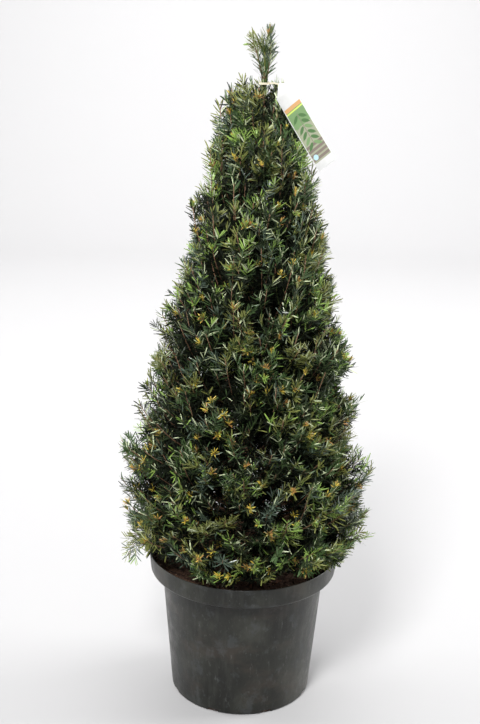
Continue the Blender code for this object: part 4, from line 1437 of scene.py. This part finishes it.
for tier, grown in twig_curves.items():
    stems = [np.array([stem_curve(space)]) for _, _, space in grown]
    curves = np.concatenate([curves for curves, _, _ in grown] + stems)
    kinds = [np.where(firsts, BROWN_TWIG, GREEN_TWIG) for _, firsts, _ in grown]
    kinds = np.concatenate(kinds + [np.full(len(stems), STEM)])
    thick = np.array([SHOOT_RADIUS, BRANCHLET_RADIUS, BOUGH_RADII[tier] * BOUGH_TIP_SHARE])[kinds][:, None]
    twigs = twigs_along(curves, thick * (1 - TWIG_TAPER * twig_shares)[None], kinds)
    deliver(twigs, f"twigs_tier_{tier + 1}", "bark")

# %% [markdown]
# ## The leading shoot
# Above the trunk stands the leader: a straight woody stem and two side stems that run up close beside it,
# all with steep needles, and short shoots at their ends. It grows by the same functions as the masses. Its
# needles lean out less, and those under the strap are held in by it.

# %% The leader's curves
LEADER_TOP = 1.354
FORK_DROP = 0.016
END_SHOOTS = [Vector(tip) for tip in ((-0.014, -0.006, 1.394), (0.0245, 0.004, 1.408), (0.040, 0.012, 1.362),
                                      (-0.020, 0.006, 1.378), (0.010, 0.010, 1.386), (0.027, -0.008, 1.372))]

foot, neck, top = (np.array(leaning(0, 0, z)) for z in (TRUNK_TOP + GAP, STRAP_Z, LEADER_TOP))
fork = leaning(0, 0, LEADER_TOP - FORK_DROP)
stems = [np.stack([foot, (foot + neck) / 2, neck]), np.stack([neck, (neck + top) / 2, top])]
ends = []
for end in END_SHOOTS:
    up_first = fork + UP * (end - fork).length * 0.45 + (end - fork) * 0.15
    ends.append(np.array([fork, up_first, end - (end - fork).normalized() * 0.014]))
for side, end in zip((-1, 1), END_SHOOTS):
    start = leaning(0.003 * side, -0.002, STRAP_Z + 0.004)
    out = leaning(0.0125 * side, -0.004, 1.345)
    ends.append(np.array([start, out, end - (end - out).normalized() * 0.016]))
print("leader: stem in", len(stems), "parts,", len(ends), "shoots")

# %% [markdown]
# ## The leader's needles
# The needles of the stem are grown twice over, in different greens, because they stand closest there. A
# table holds what differs from curve to curve, with one row each, and numpy turns its columns into arrays.

# %% Grow the leader's needles
# A row: the needles' pitch, their lean at the tip and below it, the bare share, and two colours with the
# share of the length at which the second begins.
LEADER_NEEDLES = (
    (0.0009, 26.0, 11.0, 0.10, GREEN, OLIVE, 0.40),
    (0.0012, 28.0, 30.0, 0.00, OLIVE, GREEN, 0.70),
    (0.0009, 26.0, 11.0, 0.10, DEEP, GREEN, 0.40),
    (0.0012, 28.0, 30.0, 0.00, GREEN, GREEN, 0.50),
    (0.0013, 20.0, 40.0, 0.12, OLIVE, OLIVE, 0.75),
    (0.0013, 20.0, 40.0, 0.12, GREEN, OLIVE, 0.50),
    (0.0013, 24.0, 46.0, 0.20, WAXY, WAXY, 0.60),
    (0.0013, 24.0, 46.0, 0.15, OLIVE, FRESH, 0.60),
    (0.0013, 24.0, 46.0, 0.20, GREEN, WAXY, 0.60),
    (0.0013, 24.0, 46.0, 0.20, GREEN, OLIVE, 0.50),
    (0.0010, 22.0, 40.0, 0.06, GREEN, OLIVE, 0.50),
    (0.0010, 22.0, 40.0, 0.06, GREEN, WAXY, 0.30),
)
FORWARDS = (0.0, -1.0, 0.0)

pitch, tip_lean, lean_below, bare, body, end, change = np.array(LEADER_NEEDLES).T
# The leader gets none of the painted shade of the masses' insides.
leader = grow_needles(np.array(stems + stems + ends), np.tile(FORWARDS, (len(bare), 1)), bare,
                      np.zeros(len(bare)), (body.astype(int), end.astype(int), change),
                      np.random.default_rng(5), np.stack([tip_lean, lean_below], 1), pitch, painted_shade_cap=0.0)
deliver(leader, "needles_leader", "yew_needles", "foliage_leader")

# %% [markdown]
# ## The leader's twigs
# The leader's stem is woody and thicker than any twig, and thins from part to part. It is brown, like the
# two stems beside it, and the shoots at its end are green.

# %% Grow the leader's twigs
first = np.array([0.0036, 0.0029] + [0.0013] * len(ends))[:, None]
last = np.array([0.0029, 0.0018] + [0.0007] * len(ends))[:, None]
kinds = np.array([BROWN_TWIG] * len(stems) + [GREEN_TWIG] * len(END_SHOOTS) + [BROWN_TWIG] * 2)
leader_twigs = twigs_along(np.array(stems + ends), first + (last - first) * twig_shares, kinds)
deliver(leader_twigs, "twigs_leader", "bark")

# %% [markdown]
# ## Sheets that bow
# The label is thin plastic, and bows a little along its length. Its card and its print have to bow alike, so
# one function serves for both: it cuts a flat sheet across in many places, and then raises its points most
# in the middle.

# %% Bow a sheet
CARD_BOW = 0.0016
BOW_STEPS = 16


def bowed(obj, lift):
    """Cuts a flat sheet across, bends it along its length, and lifts it off the card's back."""
    only(obj)
    for cut in range(1, BOW_STEPS):
        bpy.ops.object.mode_set(mode="EDIT")
        bpy.ops.mesh.select_all(action="SELECT")
        bpy.ops.mesh.bisect(plane_co=(label_length * cut / BOW_STEPS, 0, 0), plane_no=(1, 0, 0))
        bpy.ops.object.mode_set(mode="OBJECT")
    for vertex in obj.data.vertices:
        vertex.co.z = lift + CARD_BOW * math.sin(math.pi * vertex.co.x / label_length)


print("cuts across a sheet:", BOW_STEPS - 1)

# %% [markdown]
# ## The label's card
# The card has sloping shoulders that narrow to a strap. It is modelled flat, with its length along X. A
# plane gets its shoulders by extruding and narrowing one edge, and its lower corners by bevelling two
# points. Solidify then gives it its thickness, and a small bevel its soft edges.

# %% Model the card
CARD_THICKNESS = 0.0007
CARD_SHOULDER = 0.022
CARD_CORNER = 0.004
NECK_WIDTH = 0.004
EDGE_ROUNDING = 0.0002

clear_selection()
bpy.ops.mesh.primitive_plane_add(size=1.0, location=((CARD_SHOULDER + label_length) / 2, 0, 0))
card = bpy.context.object
card.scale = (label_length - CARD_SHOULDER, LABEL_WIDTH, 1)
set_place(card)
pick("EDGE", lambda corners: all(corner.x < CARD_SHOULDER + 0.001 for corner in corners))
bpy.ops.mesh.extrude_region_move(TRANSFORM_OT_translate={"value": (-CARD_SHOULDER, 0, 0)})
bpy.ops.transform.resize(value=(1, NECK_WIDTH / LABEL_WIDTH, 1))
pick("VERT", lambda corners: corners[0].x > label_length - 0.001)
bpy.ops.mesh.bevel(offset=CARD_CORNER, segments=5, affect="VERTICES")
bpy.ops.object.mode_set(mode="OBJECT")
bowed(card, 0.0)
apply_modifier(card, "SOLIDIFY", thickness=CARD_THICKNESS, offset=1.0)
apply_modifier(card, "BEVEL", width=EDGE_ROUNDING, segments=2, limit_method="ANGLE")
only(card)
bpy.ops.object.shade_smooth_by_angle(angle=math.radians(30))
print("card faces:", len(card.data.polygons))

# %% [markdown]
# ## The label's print
# The lower part of the card carries a printed panel in the colours of a garden: greens on a pale ground,
# with grey, orange and a little blue. The design here is a plain one: a spray of pointed leaves, bands and
# bars, and one small round. Each shape is a thin layer of its own, so that its edge is sharp from close by,
# and each lies a hair above the last, so that none flickers through another.

# %% Print one shape
FIRST_LIFT, LAYER_LIFT = 0.00003, 0.00002
shapes = []


def printed(ink, sides, place, size, turn=0.0, point=0.0):
    """Adds one flat shape to the print. Its far end is drawn out to a point by a share of its length."""
    clear_selection()
    if sides == 4:
        bpy.ops.mesh.primitive_plane_add(size=1.0)
    else:
        bpy.ops.mesh.primitive_circle_add(vertices=sides, radius=0.5, fill_type="NGON")
    shape = bpy.context.object
    if point:
        pick("VERT", lambda corners: corners[0].y > 0.499)
        bpy.ops.transform.translate(value=(0, point, 0))
        bpy.ops.object.mode_set(mode="OBJECT")
    shape.scale = (*size, 1)
    set_place(shape)
    shape.rotation_euler = (0, 0, turn)
    shape.location = (*place, 0)
    set_place(shape)
    shape.data.materials.append(inks[ink])
    shapes.append(shape)
    bowed(shape, CARD_THICKNESS + FIRST_LIFT + LAYER_LIFT * len(shapes))


INKS = {"ground": (0.39, 0.41, 0.290), "stone": (0.246, 0.203, 0.174), "orange": (0.67, 0.39, 0.174),
        "leaf": (0.102, 0.203, 0.080), "leaf_pale": (0.217, 0.35, 0.160), "lime": (0.67, 0.81, 0.174),
        "blue": (0.52, 0.75, 0.85)}
inks = {ink: plain_finish("ink_" + ink, colour, 0.4) for ink, colour in INKS.items()}
print("inks:", ", ".join(inks))

# %% [markdown]
# ## The panel
# The panel is laid out from back to front: the ground, the bands and bars across it, the small round, the
# stem of the spray, and its leaves in pairs. Every place is measured on the flat card, from its neck.

# %% Print the panel
PANEL_START, PANEL_END = 0.050, 0.170
PANEL_WIDTH = 0.041
STONE_BARS = 4
LEAF_PAIRS = 6
LEAF_SIZE, LEAF_POINT = (0.0068, 0.0170), 0.18
LEAF_SPREAD = math.radians(52)

panel_middle = (PANEL_START + PANEL_END) / 2
printed("ground", 4, (panel_middle, 0), (PANEL_END - PANEL_START, PANEL_WIDTH))
printed("leaf_pale", 4, (PANEL_START + 0.022, 0), (0.044, PANEL_WIDTH))
printed("orange", 4, (PANEL_START + 0.004, 0), (0.008, PANEL_WIDTH))
printed("lime", 4, (PANEL_START + 0.011, 0), (0.003, PANEL_WIDTH))
for step in range(STONE_BARS):
    printed("stone", 4, (PANEL_END - 0.006 - 0.009 * step, 0), (0.0055, PANEL_WIDTH))
printed("blue", 20, (PANEL_END - 0.010, -0.012), (0.011, 0.011))
printed("stone", 4, (panel_middle - 0.006, 0), (0.070, 0.0012))
for step in range(LEAF_PAIRS):
    for side in (-1, 1):
        middle = (panel_middle - 0.032 + 0.012 * step, side * 0.0085)
        ink = "leaf" if (step + side) % 3 else "leaf_pale"
        printed(ink, 18, middle, LEAF_SIZE, -math.pi / 2 + side * LEAF_SPREAD, LEAF_POINT)
print("printed shapes:", len(shapes))

# %% [markdown]
# ## Print and place
# Up to here the label lies flat at the origin, which makes it easy to draw. A matrix of its three directions
# and the place of its neck now carries the print to where the label hangs.

# %% Put the print on the label
label_turn = Matrix((label_down, label_across, label_out)).transposed()
to_label = Matrix.Translation(LABEL_NECK) @ label_turn.to_4x4()
only(shapes[0])
for shape in shapes[1:]:
    shape.select_set(True)
bpy.ops.object.join()
label_print = bpy.context.object
label_print.matrix_world = to_label
set_place(label_print)
deliver(label_print, "label_print", "label_card")

# %% [markdown]
# ## White card
# The card's plastic is a warm white. A weak mottle keeps it from looking like paper: it shifts the white a
# shade, and the same noise gives the surface a slight unevenness. The card then takes its place.

# %% White card
card_white = plain_finish("card_white", (0.74, 0.74, 0.73), 0.35)
mottle = noise(card_white, 60.0, Detail=3.0)
whites = ramp(card_white, mottle, (0.4, (0.72, 0.72, 0.71)), (0.6, (0.77, 0.77, 0.76)))
shade(card_white, whites, None, mottle, 0.0001)
card.data.materials.append(card_white)
card.matrix_world = to_label
set_place(card)
print("card reaches down to", round(min(vertex.co.z for vertex in card.data.vertices), 3))

# %% [markdown]
# ## The label's strap
# The strap is a narrow band round the leader, with a strip that runs out to the card. The band is a circle
# whose edge is extruded to the strap's height, and Solidify gives it the thickness of the plastic.

# %% Model the band
LOOP_RADIUS = 0.0098
STRAP_HEIGHT = 0.004
BAND_THICKNESS, STRIP_THICKNESS = 0.0007, 0.0006

clear_selection()
loop_middle = leaning(0, 0, STRAP_Z)
loop_foot = loop_middle - UP * STRAP_HEIGHT / 2
bpy.ops.mesh.primitive_circle_add(vertices=32, radius=LOOP_RADIUS, location=loop_foot)
band = bpy.context.object
set_place(band)
bpy.ops.object.mode_set(mode="EDIT")
bpy.ops.mesh.select_all(action="SELECT")
bpy.ops.mesh.extrude_region_move(TRANSFORM_OT_translate={"value": (0, 0, STRAP_HEIGHT)})
bpy.ops.object.mode_set(mode="OBJECT")
apply_modifier(band, "SOLIDIFY", thickness=BAND_THICKNESS, offset=0.0)
print("band faces:", len(band.data.polygons))

# %% [markdown]
# ## The strap's strip
# The strip runs from the band to the card's neck. Its plane is turned by a matrix of three directions: along
# the strip, up its height, and out of its face. A few cuts let it rise a little in the middle, because a
# plastic strap is springy.

# %% Model the strip and join the strap
STRIP_RISE = 0.0018

strip_end = LABEL_NECK + label_down * 0.004 + label_out * 0.0004
strip_way = strip_end - loop_middle
strip_start = loop_middle + strip_way * (LOOP_RADIUS / strip_way.length)
strip_length = (strip_end - strip_start).length
clear_selection()
bpy.ops.mesh.primitive_plane_add(size=1.0, location=(strip_start + strip_end) / 2)
strip = bpy.context.object
along = (strip_end - strip_start).normalized()
facing = along.cross(UP).normalized()
strip.rotation_euler = Matrix((along, facing.cross(along), facing)).transposed().to_euler()
strip.scale = (strip_length, STRAP_HEIGHT * 0.8, 1)
set_place(strip)
bpy.ops.object.mode_set(mode="EDIT")
bpy.ops.mesh.select_all(action="SELECT")
bpy.ops.mesh.subdivide(number_cuts=5)
bpy.ops.object.mode_set(mode="OBJECT")
for vertex in strip.data.vertices:
    share = (vertex.co - strip_start).dot(along) / strip_length
    vertex.co.z += STRIP_RISE * math.sin(math.pi * min(max(share, 0), 1))
apply_modifier(strip, "SOLIDIFY", thickness=STRIP_THICKNESS, offset=0.0)
only(band)
strip.select_set(True)
bpy.ops.object.join()
band.data.materials.append(plain_finish("strap_cream", (0.80, 0.74, 0.56), 0.4))
deliver(card, "label_card", "label_card", "label")
deliver(band, "label_strap", "label_card")

# %% [markdown]
# ## Last step
# The view layer is brought up to date.

# %% Update the view layer
bpy.context.view_layer.update()
